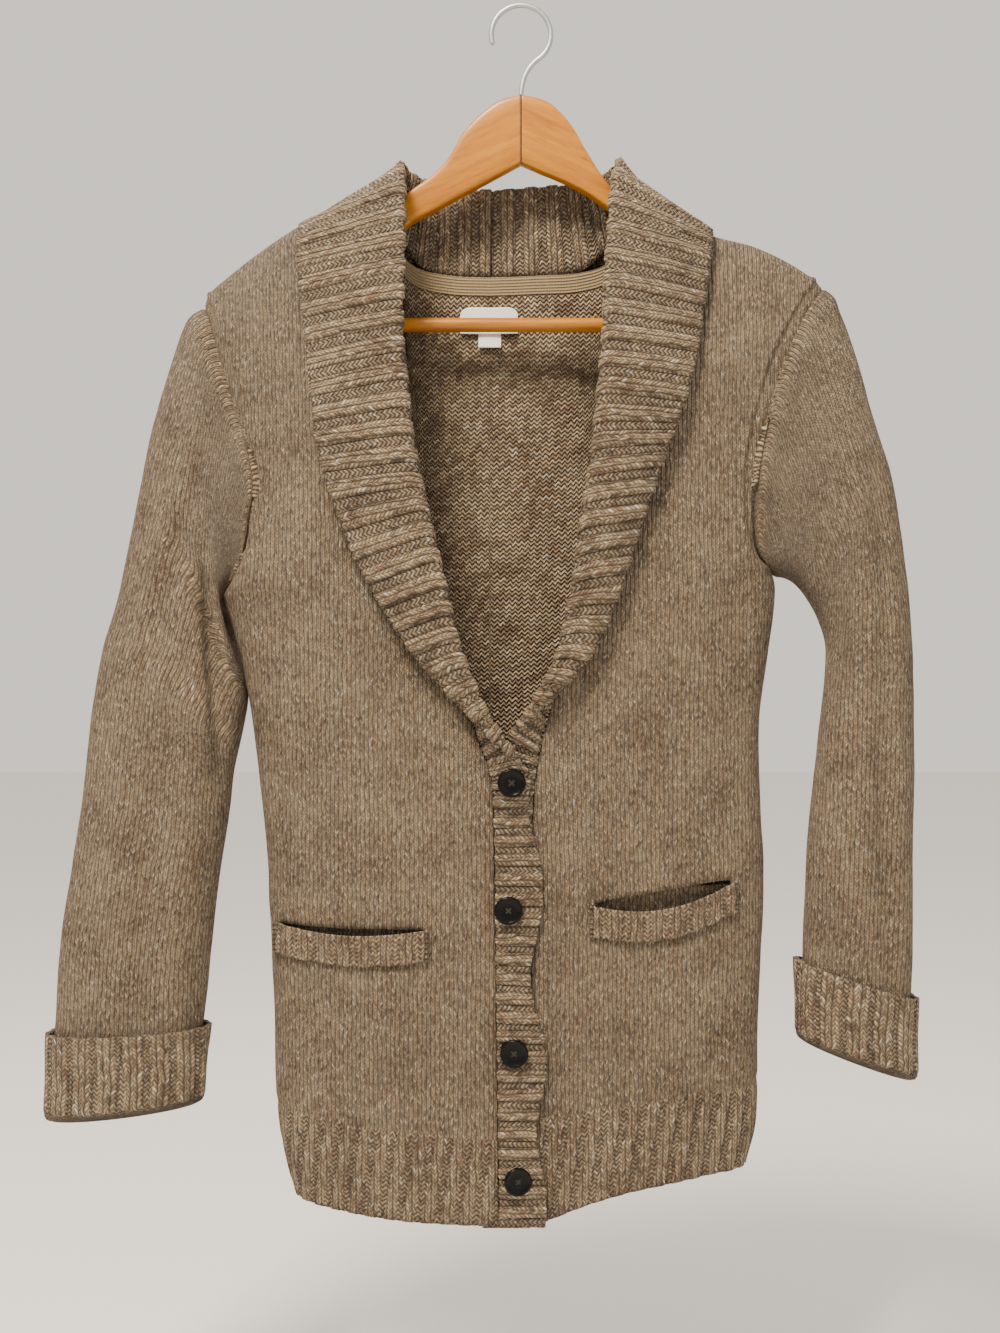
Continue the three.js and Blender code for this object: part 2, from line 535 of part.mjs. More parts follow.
function sleeveGeometry(s, rings, cuff) {
  const { tip, pit } = s;
  const first = { outerX: tip.x, outerZ: tip.z, innerX: pit.x, innerZ: pit.z, depth: s.armDepth, centreY: 0 };
  const foot = { ...rings[rings.length - 1], ...cuff };
  const all = [first, ...rings, foot];
  const ringPoint = (k, angle) => {
    const i = Math.min(Math.floor(k), all.length - 2);
    const mix = (name) => lerp(all[i][name], all[i + 1][name], k - i);
    const share = (1 - Math.cos(angle)) / 2;
    const loop = loopPoint(s, angle);
    const bowed = loop.x - lerp(tip.x, pit.x, share);
    const keep = Math.exp(-((k / ARMHOLE_REACH) ** 2));
    const own = mix("depth") * Math.abs(Math.sin(angle)) ** SLEEVE_FLATNESS;
    const depth = lerp(own, Math.abs(loop.y), keep);
    const apart = s.side * (3 + 5 * share ** 6) * SEAM_GAP * Math.exp(-k); // most at the pit
    const x = lerp(mix("outerX"), mix("innerX"), share) + bowed * keep + apart;
    const y = mix("centreY") * (1 - keep) - Math.sign(Math.sin(angle)) * depth;
    return vec(x, y, lerp(mix("outerZ"), mix("innerZ"), share));
  };
  const cuffTop = all.length - 2;
  const rows = [SLEEVE_START, 0.4, ...steps(cuffTop - 1, 1, cuffTop), cuffTop + 0.02, all.length - 1];
  const outs = rows.map((k) => (k > cuffTop ? cuff.stand : 0));
  const grid = rows.map((k, r) => LOOP_ANGLES.map((angle) => {
    const point = ringPoint(k, angle);
    const around = ringPoint(k, angle + 0.02).sub(ringPoint(k, angle - 0.02));
    const below = ringPoint(Math.min(k + 0.05, all.length - 1), angle);
    const along = below.sub(ringPoint(Math.max(k - 0.05, 0), angle));
    const normal = around.cross(along).normalize();
    const centre = ringPoint(k, 0).add(ringPoint(k, Math.PI)).multiplyScalar(0.5);
    if (normal.dot(point.clone().sub(centre)) < 0) normal.negate();
    return { point, normal, out: outs[r], inn: -WALL };
  }));
  return cut(wall(grid, true), [seamed(backGrid), seamed(frontGrids[s.name])]);
}
addPiece("right_sleeve", sleeveGeometry(RIGHT, RIGHT_SLEEVE, RIGHT_CUFF), COLOURS.wool);
addPiece("left_sleeve", sleeveGeometry(LEFT, LEFT_SLEEVE, LEFT_CUFF), COLOURS.wool);

// ---------------------------------------------------------------- collar and front bands
// The strip's centre line in one section: seam, rounded roll, free edge.
function collarSection(seam, away, roll, edge) {
  const toRoll = roll.clone().sub(seam);
  const toEdge = edge.clone().sub(roll);
  const slant = away.clone().cross(toRoll.clone().normalize()).length();
  const start = seam.clone().addScaledVector(away, SEAM_GAP + 0.3 + (0.5 * COLLAR_WALL + 0.4) * slant);
  const round = Math.min(9, 0.45 * toRoll.length(), 0.45 * toEdge.length());
  const before = roll.clone().addScaledVector(toRoll.clone().normalize(), -round);
  const after = roll.clone().addScaledVector(toEdge.clone().normalize(), round);
  const bend = (t) => {
    const entering = before.clone().multiplyScalar((1 - t) ** 2);
    return entering.addScaledVector(roll, 2 * t * (1 - t)).addScaledVector(after, t * t);
  };
  const straight = (p, q, shares) => shares.map((t) => p.clone().lerp(q, t));
  const rising = straight(start, before, [0, 0.5, 0.97]);
  const falling = straight(after, edge, [0.03, 0.5, 1]);
  return [...rising, bend(0.33), bend(0.67), ...falling];
}

// The row at which a front's free edge is at height z.
function rowOfFrontEdge(s, z) {
  const above = (PIT_ROW * (z - s.neckPoint.z)) / (s.pitLevel - s.neckPoint.z);
  const below = PIT_ROW + ((1 - PIT_ROW) * (z - s.pitLevel)) / (s.hem.inner - s.pitLevel);
  return clamp(z > s.pitLevel ? above : below, 0, 1);
}

function collarGeometry(s, backRows, frontRows, bandEdge) {
  const sections = backRows.map((row, i) => {
    const x = i === 0 ? CENTRE_BACK + (s.side * SEAM_GAP) / 2 : row.neckX;
    const shift = x - row.neckX;
    const neck = (at, column) => read(s.neck, "x", at, column);
    const seam = vec(x, neck(x, "y") - (WALL / 2) * (i === backRows.length - 1 ? 0 : 1), neck(x, "z"));
    if (i === backRows.length - 1) seam.z -= WALL / 2;
    const slope = vec(s.side, 0, (neck(x, "z") - neck(x - s.side, "z"))).normalize();
    const away = vec(-s.side * Math.abs(slope.z), 0, Math.abs(slope.x));
    const roll = vec(row.rollX + shift, row.rollY, row.rollZ);
    return collarSection(seam, away, roll, vec(row.edgeX + shift, row.edgeY, row.edgeZ));
  });
  const middle = (v) => {
    const surface = frontSurface(s);
    return surface(0, v).addScaledVector(normalAt(surface, 0, v, [0, 1, 0, 1], FORWARD), -WALL / 2);
  };
  const offEdge = (v) => frontPoint(s, 0, v).sub(frontPoint(s, 0.03, v)).normalize();
  for (const row of frontRows) {
    const { a, v } = placeOnFront(s, row.edgeX, row.edgeZ);
    const edge = vec(row.edgeX, frontPoint(s, a, v).y - row.lift, row.edgeZ);
    const level = rowOfFrontEdge(s, row.seamZ);
    sections.push(collarSection(middle(level), offEdge(level), vec(row.rollX, row.rollY, row.rollZ), edge));
  }
  for (const z of [...BAND_LEVELS, s.hem.inner]) {
    const seam = middle(rowOfFrontEdge(s, z));
    const edge = vec(read(bandEdge, "z", z, "x"), seam.y, z);
    const roll = edge.clone().lerp(seam, BAND_ROLL / edge.distanceTo(seam));
    sections.push(collarSection(seam, vec(-s.side, 0, 0), roll, edge));
  }
  const last = sections.length - 1;
  const columns = sections[0].length - 1;
  const at = (i, j) => sections[clamp(i, 0, last)][clamp(j, 0, columns)];
  const grid = sections.map((section, i) => section.map((point, j) => {
    const across = at(i, j + 1).clone().sub(at(i, j - 1));
    const along = at(i + 1, j).clone().sub(at(i - 1, j));
    const normal = across.cross(along).normalize();
    if (i === 0) normal.setX(0).normalize();
    return { point, normal, out: COLLAR_WALL / 2, inn: -COLLAR_WALL / 2 };
  }));
  return cut(wall(grid), [seamed(backGrid)]);
}
const rightCollar = collarGeometry(RIGHT, RIGHT_BACK_COLLAR, RIGHT_COLLAR, RIGHT_BAND_EDGE);
const leftCollar = collarGeometry(LEFT, LEFT_BACK_COLLAR, LEFT_COLLAR, LEFT_BAND_EDGE);
addPiece("right_collar_band", rightCollar, COLOURS.rib);
addPiece("left_collar_band", leftCollar, COLOURS.rib);

// ---------------------------------------------------------------- neck tape and labels
// A patch inside the back, between two x, down from the neck seam.
function insideBack(xs, drops, outer, thickness) {
  return xs.map((x) => drops.map((drop) => {
    const s = x < CENTRE_BACK ? RIGHT : LEFT;
    const top = read(s.neck, "x", x, "z");
    let [a, v] = [0, 0];
    for (let round = 0; round < 30; round += 1) {
      const here = backPoint(a, v);
      a = clamp(a + (x - here.x) / 300, -0.98, 0.98);
      v = clamp(v + (here.z - (top - drop)) / 700, 0, 1);
    }
    const normal = normalAt(backPoint, a, v, [-1, 1, 0, 1], BACKWARD);
    return { point: backPoint(a, v), normal, out: -outer, inn: -outer - thickness };
  }));
}
const TAPE = { thickness: 1.2, share: 0.93 };
const NECK_LABEL = { from: -43, to: -2, top: 24, height: 20, thickness: 1 };
const SIZE_TAB = { from: -30, to: -14, top: 44.5, height: 11, thickness: 1 };
function patch(p, columns, rows) {
  return insideBack(steps(columns, p.from, p.to), steps(rows, p.top, p.top + p.height), UNDER, p.thickness);
}
const tapeColumns = [-TAPE.share * neckShare(RIGHT), TAPE.share * neckShare(LEFT)];
const tapeInside = -UNDER - TAPE.thickness;
const tape = layer(backGrid, BODY_ROWS, BACK_COLUMNS, TAPE_ROWS, tapeColumns, -UNDER, tapeInside);
addPiece("neck_tape", wall(tape), COLOURS.tape);
addPiece("neck_label", wall(patch(NECK_LABEL, 4, 1)), COLOURS.label);
addPiece("size_tab", wall(patch(SIZE_TAB, 2, 1)), COLOURS.label);

// ---------------------------------------------------------------- buttons
function buttonGeometry() {
  const [r, h, rim] = [BUTTON.diameter / 2, BUTTON.thickness, BUTTON.rim];
  const foot = [[0, 0], [r - 1, 0], [r, 1]];
  const lip = [[r, h - 0.8], [r - 0.8, h], [r - rim, h]];
  const face = [[r - rim - 0.8, h - BUTTON.dish], [0, h - BUTTON.dish]];
  const outline = [...foot, ...lip, ...face];
  const disc = new THREE.LatheGeometry(outline.map(([x, y]) => new THREE.Vector2(x, y)), 20);
  const holes = [0, 1, 2, 3].map((n) => {
    const angle = Math.PI / 4 + (n * Math.PI) / 2;
    const hole = new THREE.CylinderGeometry(BUTTON.hole / 2, BUTTON.hole / 2, 3 * h, 6);
    return hole.translate(BUTTON.holeCircle * Math.cos(angle), h / 2, BUTTON.holeCircle * Math.sin(angle));
  });
  return cut(disc, holes).rotateX(Math.PI);
}
BUTTON_CENTRES.forEach((centre, i) => {
  const button = addPiece(`button_${i + 1}`, buttonGeometry(), COLOURS.button, 0.3);
  const seamY = frontPoint(RIGHT, 0, rowOfFrontEdge(RIGHT, centre.z)).y;
  button.position.set(centre.x, seamY - centre.lift, centre.z);
});

// ---------------------------------------------------------------- hanger
const ARM_RIGHT = table("x top bottom", [
  [-0.2, -62.3, -112], [-15, -67, -114], [-29, -76, -120], [-41, -89, -128], [-50, -105, -137],
  [-62, -118, -146], [-77, -129, -154], [-89, -139, -162], [-106, -144.5, -169],
  [-120, -148, -175], [-141, -155, -185], [-156, -161, -193], [-170, -168, -201],
  [-183, -177, -209], [-196, -187, -219], [-206, -195, -226], [-214, -204, -230],
  [-217, -213, -228],
]);
const ARM_LEFT = table("x top bottom", [
  [0.2, -62.3, -112], [14, -66, -112], [23, -70, -114], [35, -83, -121], [46, -102, -130],
  [59, -122, -140], [74, -138, -151], [93, -147.5, -162], [107, -153, -169], [134, -165, -182],
  [148, -168.5, -190], [162, -172.5, -198], [174, -178, -208], [186, -184, -218],
  [198, -192, -228], [204, -198, -230], [207, -205, -226],
]);

function armGeometry(rows) {
  return loft(rows.map((row) => {
    const half = ARM_THICKNESS / 2;
    const [top, bottom] = [row.top, row.bottom];
    const bevel = Math.min(half * 0.8, (top - bottom) / 3);
    const crown = [[0.3 * half, top], [0.78 * half, top - 0.35 * bevel], [half, top - bevel]];
    const profile = [...crown, [half, bottom + 0.5 * bevel], [half - 2, bottom]];
    const section = [...profile, ...profile.map(([y, z]) => [-y, z]).reverse()];
    return section.map(([y, z]) => vec(row.x, y, z));
  }));
}

const hookCentre = -HOOK.insideRadius;
const wireLine = HOOK.insideRadius + HOOK.wire / 2;
class HookCurve extends THREE.Curve {
  getPoint(t, target = vec(0, 0, 0)) {
    const sweep = THREE.MathUtils.degToRad(lerp(200, -50, Math.min(t / 0.7, 1)));
    if (t <= 0.7) return target.set(wireLine * Math.cos(sweep), 0, hookCentre + wireLine * Math.sin(sweep));
    const s = (t - 0.7) / 0.3;
    const from = vec(wireLine * Math.cos(sweep), 0, hookCentre + wireLine * Math.sin(sweep));
    const bend = vec(0.5, 0, -43.5);
    const to = vec(0, 0, HOOK.stemFoot + 2.5);
    const a = from.clone().lerp(bend, s);
    return target.copy(a.lerp(bend.clone().lerp(to, s), s));
  }
}
function wireGeometry(curve, radius, count) {
  const section = new THREE.Shape(Array.from({ length: 8 }, (_, j) => {
    const angle = (j / 8) * 2 * Math.PI;
    return new THREE.Vector2(radius * Math.cos(angle), radius * Math.sin(angle));
  }));
  return new THREE.ExtrudeGeometry(section, { extrudePath: curve, steps: count });
}

addPiece("hanger_hook", wireGeometry(new HookCurve(), HOOK.wire / 2, 26), COLOURS.steel, 0.3, 1);

// The bar, or with some room the socket that it sits in.
function barGeometry(room) {
  const radius = BAR.diameter / 2 + room;
  const rod = new THREE.CylinderGeometry(radius, radius, BAR.length + 2 * room, 16);
  return rod.rotateZ(Math.PI / 2).translate(BAR.x, 0, BAR.z);
}
addPiece("hanger_arm_right", cut(armGeometry(ARM_RIGHT), [barGeometry(SEAM_GAP)]), COLOURS.wood, 0.4);
addPiece("hanger_arm_left", cut(armGeometry(ARM_LEFT), [barGeometry(SEAM_GAP)]), COLOURS.wood, 0.4);
addPiece("hanger_bar", barGeometry(0), COLOURS.wood, 0.4);

export default group;
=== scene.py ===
"""A heathered shawl collar cardigan hanging on a wooden bar hanger.

Lengths are in millimetres until a mesh is placed, which turns them to metres. +Z is up, -Y is
the front of the garment and +X the wearer's left. The origin is the inside top of the hook.
"""

import sys
import logging
import math
from dataclasses import dataclass, field
from enum import Enum
from typing import Callable, Optional, Sequence

import bmesh
import bpy
import numpy as np
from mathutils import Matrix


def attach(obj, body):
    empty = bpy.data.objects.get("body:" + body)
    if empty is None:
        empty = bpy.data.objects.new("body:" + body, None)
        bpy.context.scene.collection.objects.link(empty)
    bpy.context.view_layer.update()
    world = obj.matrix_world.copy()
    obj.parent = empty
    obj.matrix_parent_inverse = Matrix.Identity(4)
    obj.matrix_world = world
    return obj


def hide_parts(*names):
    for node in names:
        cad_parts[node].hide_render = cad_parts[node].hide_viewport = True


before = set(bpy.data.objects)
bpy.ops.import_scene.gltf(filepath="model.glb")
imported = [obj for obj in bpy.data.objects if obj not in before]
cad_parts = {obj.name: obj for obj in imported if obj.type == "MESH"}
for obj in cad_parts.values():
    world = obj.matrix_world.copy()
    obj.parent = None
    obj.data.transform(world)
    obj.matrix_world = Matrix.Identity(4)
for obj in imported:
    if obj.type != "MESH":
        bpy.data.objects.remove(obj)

LOG = logging.getLogger("cardigan")
LOG.setLevel(logging.INFO)
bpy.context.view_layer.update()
MM = 0.001
ROOT = "root"
Array = np.ndarray
Form = Callable[[Array, Array], Array]


# ------------------------------------------------------------------ numbers and tables
class Track:
    """A short table of named columns, read smoothly along its first column."""

    def __init__(self, names: str, rows: Sequence[Sequence[float]]) -> None:
        """Sort the rows by their first column and keep each column by name."""
        self.names = names.split()
        data = np.array(sorted(rows), dtype=float)
        self.key = data[:, 0]
        self.columns = {name: data[:, i] for i, name in enumerate(self.names)}

    def read(self, column: str, at: Array) -> Array:
        """Read a column at any places along the key.

        Args:
            column: the column's name.
            at: places along the key column.

        Returns:
            The smooth values there.
        """
        key, value = self.key, self.columns[column]
        slope = np.empty_like(value)
        slope[1:-1] = (value[2:] - value[:-2]) / (key[2:] - key[:-2])
        slope[0] = (value[1] - value[0]) / (key[1] - key[0])
        slope[-1] = (value[-1] - value[-2]) / (key[-1] - key[-2])
        i = np.clip(np.searchsorted(key, at) - 1, 0, len(key) - 2)
        span = key[i + 1] - key[i]
        t = np.clip((at - key[i]) / span, 0.0, 1.0)
        p, q, m, n = value[i], value[i + 1], slope[i] * span, slope[i + 1] * span
        return p + t * m + t**2 * (3 * (q - p) - 2 * m - n) + t**3 * (2 * (p - q) + m + n)


def lerp(a: Array, b: Array, t: Array) -> Array:
    """Blend from a to b."""
    return a + (b - a) * t


def ease(t: Array) -> Array:
    """A smooth step from 0 to 1."""
    c = np.clip(t, 0.0, 1.0)
    return c * c * (3 - 2 * c)


def bell(t: Array) -> Array:
    """A soft hump of height 1 and half width of about 1."""
    return np.exp(-t * t)


def ripple(x: Array, z: Array, scale: float, seed: float) -> Array:
    """An uneven surface made of four crossing waves, from about -1 to 1."""
    total = np.zeros(np.broadcast(x, z).shape)
    for n, (tx, tz) in enumerate(((1.0, 0.35), (-0.6, 0.8), (0.45, 1.3), (1.5, -0.9))):
        total = total + np.sin((tx * x + tz * z) / scale * math.tau + seed * (n + 1.7) + n) / (n + 1.4)
    return total / 2.0


def rib_profile(turns: Array, knit_share: float) -> Array:
    """Height of ribs: 1 on the knit ridge, 0.4 on the purl strip, 0 in the crease between them.

    Args:
        turns: place across the ribs, one whole number for each rib.
        knit_share: the ridge's share of a rib.

    Returns:
        Heights from 0 to 1.
    """
    place = (turns + 0.5 - knit_share / 2) % 1.0 - 0.5
    beyond = np.abs(place) - knit_share / 2
    depth = np.where(place > 0, 0.62, 0.34)
    level = 0.42 + 0.58 * ease((0.05 - beyond) / 0.10)
    wales = 0.07 * np.cos(place / knit_share * 2 * math.tau) * (beyond < 0)
    return np.clip(level - depth * bell((beyond - 0.035) / 0.045) - wales, 0, 1)


# ------------------------------------------------------------------ the garment's measurements
WALL = 3.0
RIDGE_RADIUS = 11.5
RIDGE_DRIFT = 60.0
PIT_ROW = 0.42
SIDE_ROUNDING = 2.8
CENTRE_BACK = -21.0
BACK_DEPTH = 30.0
HALF_WIDTH = 190.0


@dataclass(frozen=True)
class Side:
    """The measurements of one half of the garment.

    Attributes hold the shoulder's ridge, front edge, armhole and side seam, and the back neck.
    """

    name: str
    sign: float
    depth: float
    neck_point: tuple[float, float]
    tip: tuple[float, float]
    pit: tuple[float, float]
    pit_level: float
    hem_inner: float
    hem_outer: float
    hem_bow: float
    ridge: Track
    front_edge: Track
    outer_edge: Track
    neck: Track
    hem_back: float = -836.0
    arm_depth: float = 27.0

    def outer_height(self, v: Array) -> Array:
        """Height of the armhole and side seam at a row."""
        above = lerp(self.tip[1], self.pit[1], v / PIT_ROW)
        below = lerp(self.pit[1], self.hem_outer, (v - PIT_ROW) / (1 - PIT_ROW))
        return np.where(v <= PIT_ROW, above, below)

    def front_height(self, v: Array) -> Array:
        """Height of the front edge at a row."""
        above = lerp(self.neck_point[1], self.pit_level, v / PIT_ROW)
        below = lerp(self.pit_level, self.hem_inner, (v - PIT_ROW) / (1 - PIT_ROW))
        return np.where(v <= PIT_ROW, above, below)

    def row_of_front_height(self, z: Array) -> Array:
        """The row whose front edge is at a height."""
        above = PIT_ROW * (z - self.neck_point[1]) / (self.pit_level - self.neck_point[1])
        below = PIT_ROW + (1 - PIT_ROW) * (z - self.pit_level) / (self.hem_inner - self.pit_level)
        return np.clip(np.where(z > self.pit_level, above, below), 0.0, 1.0)

    def armhole_depth(self, z: Array) -> Array:
        """Half depth of the armhole's loop at a height."""
        level = np.clip(2 * (z - self.pit[1]) / (self.tip[1] - self.pit[1]) - 1, -1, 1)
        return self.arm_depth * (1 - np.abs(level) ** 2.4) ** (1 / 2.4)


RIGHT = Side(
    name="right", sign=-1.0, depth=45.3, neck_point=(-92.0, -131.5), tip=(-224.0, -211.0),
    pit=(-207.0, -414.0), pit_level=-404.0, hem_inner=-838.0, hem_outer=-826.0, hem_bow=-2.0,
    ridge=Track("x z", [(-76, -124.5), (-95, -133.5), (-120, -141.5), (-141, -148.5), (-156, -154),
                        (-183, -172), (-206, -190), (-218, -201), (-224, -211)]),
    front_edge=Track("z x", [(-131, -92), (-172, -93), (-233, -88), (-294, -79), (-355, -69),
                             (-416, -57), (-464, -45), (-491, -37), (-520, -26), (-535, -21),
                             (-551, -19), (-700, -17), (-840, -15)]),
    outer_edge=Track("z x", [(-211, -224), (-219, -219), (-254, -207), (-296, -191), (-334, -182),
                             (-353, -185), (-381, -190), (-403, -200), (-414, -207), (-427, -203),
                             (-460, -194), (-492, -188), (-540, -182), (-590, -177), (-646, -174),
                             (-702, -172), (-751, -171), (-784, -168), (-811, -162), (-828, -157)]),
    neck=Track("x y z", [(-21, 24, -184), (-50, 23.5, -183), (-74, 20, -178), (-85, 17.5, -167),
                         (-90, 14.5, -150), (-91.2, 11.5, -138), (-92, 0, -131.5)]),
)
LEFT = Side(
    name="left", sign=1.0, depth=41.0, neck_point=(80.0, -131.5), tip=(214.0, -198.0),
    pit=(174.0, -395.0), pit_level=-398.0, hem_inner=-840.0, hem_outer=-806.0, hem_bow=8.0,
    ridge=Track("x z", [(59, -118.5), (79, -131), (107, -148), (134, -160), (162, -167.5),
                        (186, -178.5), (204, -190), (214, -198)]),
    front_edge=Track("z x", [(-131, 80), (-168, 75), (-233, 70), (-294, 63), (-355, 53), (-416, 40),
                             (-464, 27), (-498, 17), (-524, 11), (-545, 8), (-600, 6), (-840, 6)]),
    outer_edge=Track("z x", [(-198, 214), (-214, 201), (-254, 180), (-301, 166), (-329, 161),
                             (-357, 159), (-375, 160), (-387, 165), (-395, 174), (-410, 177),
                             (-453, 172), (-499, 166), (-555, 167), (-611, 169), (-660, 167),
                             (-709, 165), (-776, 164), (-806, 157)]),
    neck=Track("x y z", [(-21, 24, -184), (8, 23.5, -183), (45, 21, -181), (66, 18, -172),
                         (77, 14.5, -150), (79, 11.5, -138), (80, 0, -131.5)]),
)


@dataclass(frozen=True)
class Fold:
    """A soft fold of the hanging cloth: where it is, its lean, half width, reach and height."""

    x: float
    z: float
    lean: float
    width: float
    length: float
    height: float

    def at(self, x: Array, z: Array) -> Array:
        """Height of the fold at a place seen from the front."""
        across = (x - self.x - self.lean * (z - self.z)) / self.width
        return self.height * bell((z - self.z) / self.length) * bell(across)


FRONT_FOLDS = {
    "right": [Fold(-150, -330, 0.25, 22, 120, 4), Fold(-176, -470, 0.15, 15, 90, -4),
              Fold(-120, -560, 0.2, 26, 110, 3), Fold(-80, -740, -0.05, 24, 90, 3),
              Fold(-150, -720, 0.1, 20, 90, -3), Fold(-44, -600, 0.02, 9, 150, -2.2),
              Fold(-128, -250, 0.5, 9, 60, -2.0), Fold(-190, -250, 0.3, 10, 50, 2.0)],
    "left": [Fold(120, -400, -0.2, 20, 120, 4), Fold(146, -520, -0.1, 15, 100, -4),
             Fold(60, -600, -0.15, 22, 120, 3), Fold(110, -740, 0.1, 24, 90, 4),
             Fold(40, -760, 0, 18, 80, -3), Fold(152, -410, 0.4, 8, 30, -3.0),
             Fold(30, -570, 0.03, 8, 60, -2.4), Fold(132, -800, 0.1, 14, 50, -3.0)],
}
BACK_FOLDS = [Fold(-110, -420, 0.2, 26, 150, 5), Fold(90, -430, -0.2, 26, 150, 5),
              Fold(-30, -560, 0.05, 30, 170, -4), Fold(120, -700, 0.1, 24, 110, 4),
              Fold(-120, -700, -0.1, 24, 110, 4), Fold(-60, -250, 0.3, 12, 60, -2.5),
              Fold(30, -260, -0.3, 12, 60, -2.5)]


# ------------------------------------------------------------------ surfaces of the body
def ridge_arc(drop: Array) -> Array:
    """Depth of the cloth that wraps over the hanger's arm, at a drop below the ridge."""
    inside = 1 - np.clip(drop, 0, RIDGE_RADIUS) / RIDGE_RADIUS
    return RIDGE_RADIUS * np.sqrt(np.maximum(1 - inside**2, 0))


def hanging_depth(drop: Array, plane: Array) -> Array:
    """Depth of hanging cloth that leaves the ridge for its own plane."""
    return ridge_arc(drop) + (plane - RIDGE_RADIUS) * (1 - np.exp(-np.maximum(drop, 0) / RIDGE_DRIFT))


def body_depth(s: Side, u: Array, v: Array, plane: Array, z_outer: Array) -> Array:
    """Depth of a body panel, rounded into the armhole or the side seam."""
    turn = ease((v - 0.2) / (PIT_ROW - 0.2))
    round_off = (1 - np.minimum(u, 1.0) ** SIDE_ROUNDING) ** (1 / SIDE_ROUNDING)
    loop = s.armhole_depth(z_outer)
    flat = lerp(plane, loop, u**2.2)
    tucked = loop + (plane - loop) * round_off
    return np.where(v >= PIT_ROW, plane * round_off, lerp(flat, tucked, turn))


def front_point(s: Side, a: Array, v: Array, lift: Array = 0.0) -> Array:
    """A point of a front, moved out by a lift.

    Args:
        s: the side.
        a: 0 at the front edge, 1 at the armhole or side seam.
        v: 0 at the shoulder, 1 at the hem.
        lift: how far out of the surface the point stands.

    Returns:
        Points as an array with x, y and z last.
    """
    u = np.sin(a * math.pi / 2)
    z_inner, z_outer = s.front_height(v), s.outer_height(v)
    ridge = s.ridge.read("z", lerp(s.neck_point[0], s.tip[0], u))
    x = lerp(s.front_edge.read("x", z_inner), s.outer_edge.read("x", z_outer), u)
    bow = (ridge - lerp(s.neck_point[1], s.tip[1], u)) * np.exp(-((v / 0.2) ** 2))
    z = lerp(z_inner, z_outer, u) + bow + s.hem_bow * np.sin(math.pi * u) * v**4
    drop = ridge - z
    folds = sum(fold.at(x, z) for fold in FRONT_FOLDS[s.name])
    folds = folds * np.sin(math.pi * u) * ease((drop - 20) / 60)
    y = -body_depth(s, u, v, hanging_depth(drop, s.depth), z_outer) - folds
    return np.stack([x, y, z], axis=-1) + body_normal(s, a, v, drop, -1.0) * np.expand_dims(lift, -1)


def back_point(a: Array, v: Array, lift: Array = 0.0) -> Array:
    """A point of the back: a from -1 at the wearer's right seam to 1 at the left one."""
    halves = []
    for s in (RIGHT, LEFT):
        u = np.sin(np.abs(a) * math.pi / 2)
        top_x = lerp(CENTRE_BACK, s.tip[0], u)
        on_neck = (top_x - s.neck_point[0]) * s.sign < 0
        top_z = np.where(on_neck, s.neck.read("z", top_x), s.ridge.read("z", top_x))
        top_y = np.where(on_neck, s.neck.read("y", top_x), 0.0)
        z_outer = s.outer_height(v)
        g = (z_outer - s.tip[1]) / (s.hem_outer - s.tip[1])
        x = lerp(CENTRE_BACK, s.outer_edge.read("x", z_outer), u)
        z = lerp(top_z, lerp(s.hem_back, s.hem_outer, u**2), g)
        drop = top_z - z
        fade = np.exp(-drop / RIDGE_DRIFT)
        hang = hanging_depth(drop, BACK_DEPTH)
        plane = np.maximum(hang, top_y * fade + hang * (1 - fade))
        folds = sum(fold.at(x, z) for fold in BACK_FOLDS) * (1 - u**4) * ease((drop - 40) / 60)
        y = body_depth(s, u, v, plane, z_outer) + folds
        normal = body_normal(s, np.abs(a), v, np.where(on_neck, RIDGE_RADIUS, drop), 1.0)
        halves.append(np.stack([x, y, z], axis=-1) + normal * np.expand_dims(lift, -1))
    return np.where(np.expand_dims(a < 0, -1), halves[0], halves[1])


def body_normal(s: Side, a: Array, v: Array, drop: Array, facing: float) -> Array:
    """The direction out of a body panel: up over the ridge, outward at the side seam."""
    u = np.sin(a * math.pi / 2)
    turn = ease((v - 0.2) / (PIT_ROW - 0.2))
    outward = turn * u ** (SIDE_ROUNDING - 1) / HALF_WIDTH
    flat = (1 - np.minimum(u, 1.0) ** SIDE_ROUNDING) ** ((SIDE_ROUNDING - 1) / SIDE_ROUNDING)
    forward = lerp(1.0, flat, turn) / s.depth
    size = np.sqrt(outward**2 + forward**2)
    rise = np.clip(1 - drop / RIDGE_RADIUS, 0, 1)
    level = np.sqrt(1 - rise**2) / size
    return np.stack([s.sign * outward * level, facing * forward * level, rise + 0 * level], axis=-1)


# ------------------------------------------------------------------ finishes
def linear(hex_colour: str, alpha: float = 1.0) -> tuple[float, float, float, float]:
    """Turn an sRGB hex colour to linear values."""
    parts = [int(hex_colour[i : i + 2], 16) / 255 for i in (1, 3, 5)]
    return (*[p / 12.92 if p <= 0.04045 else ((p + 0.055) / 1.055) ** 2.4 for p in parts], alpha)


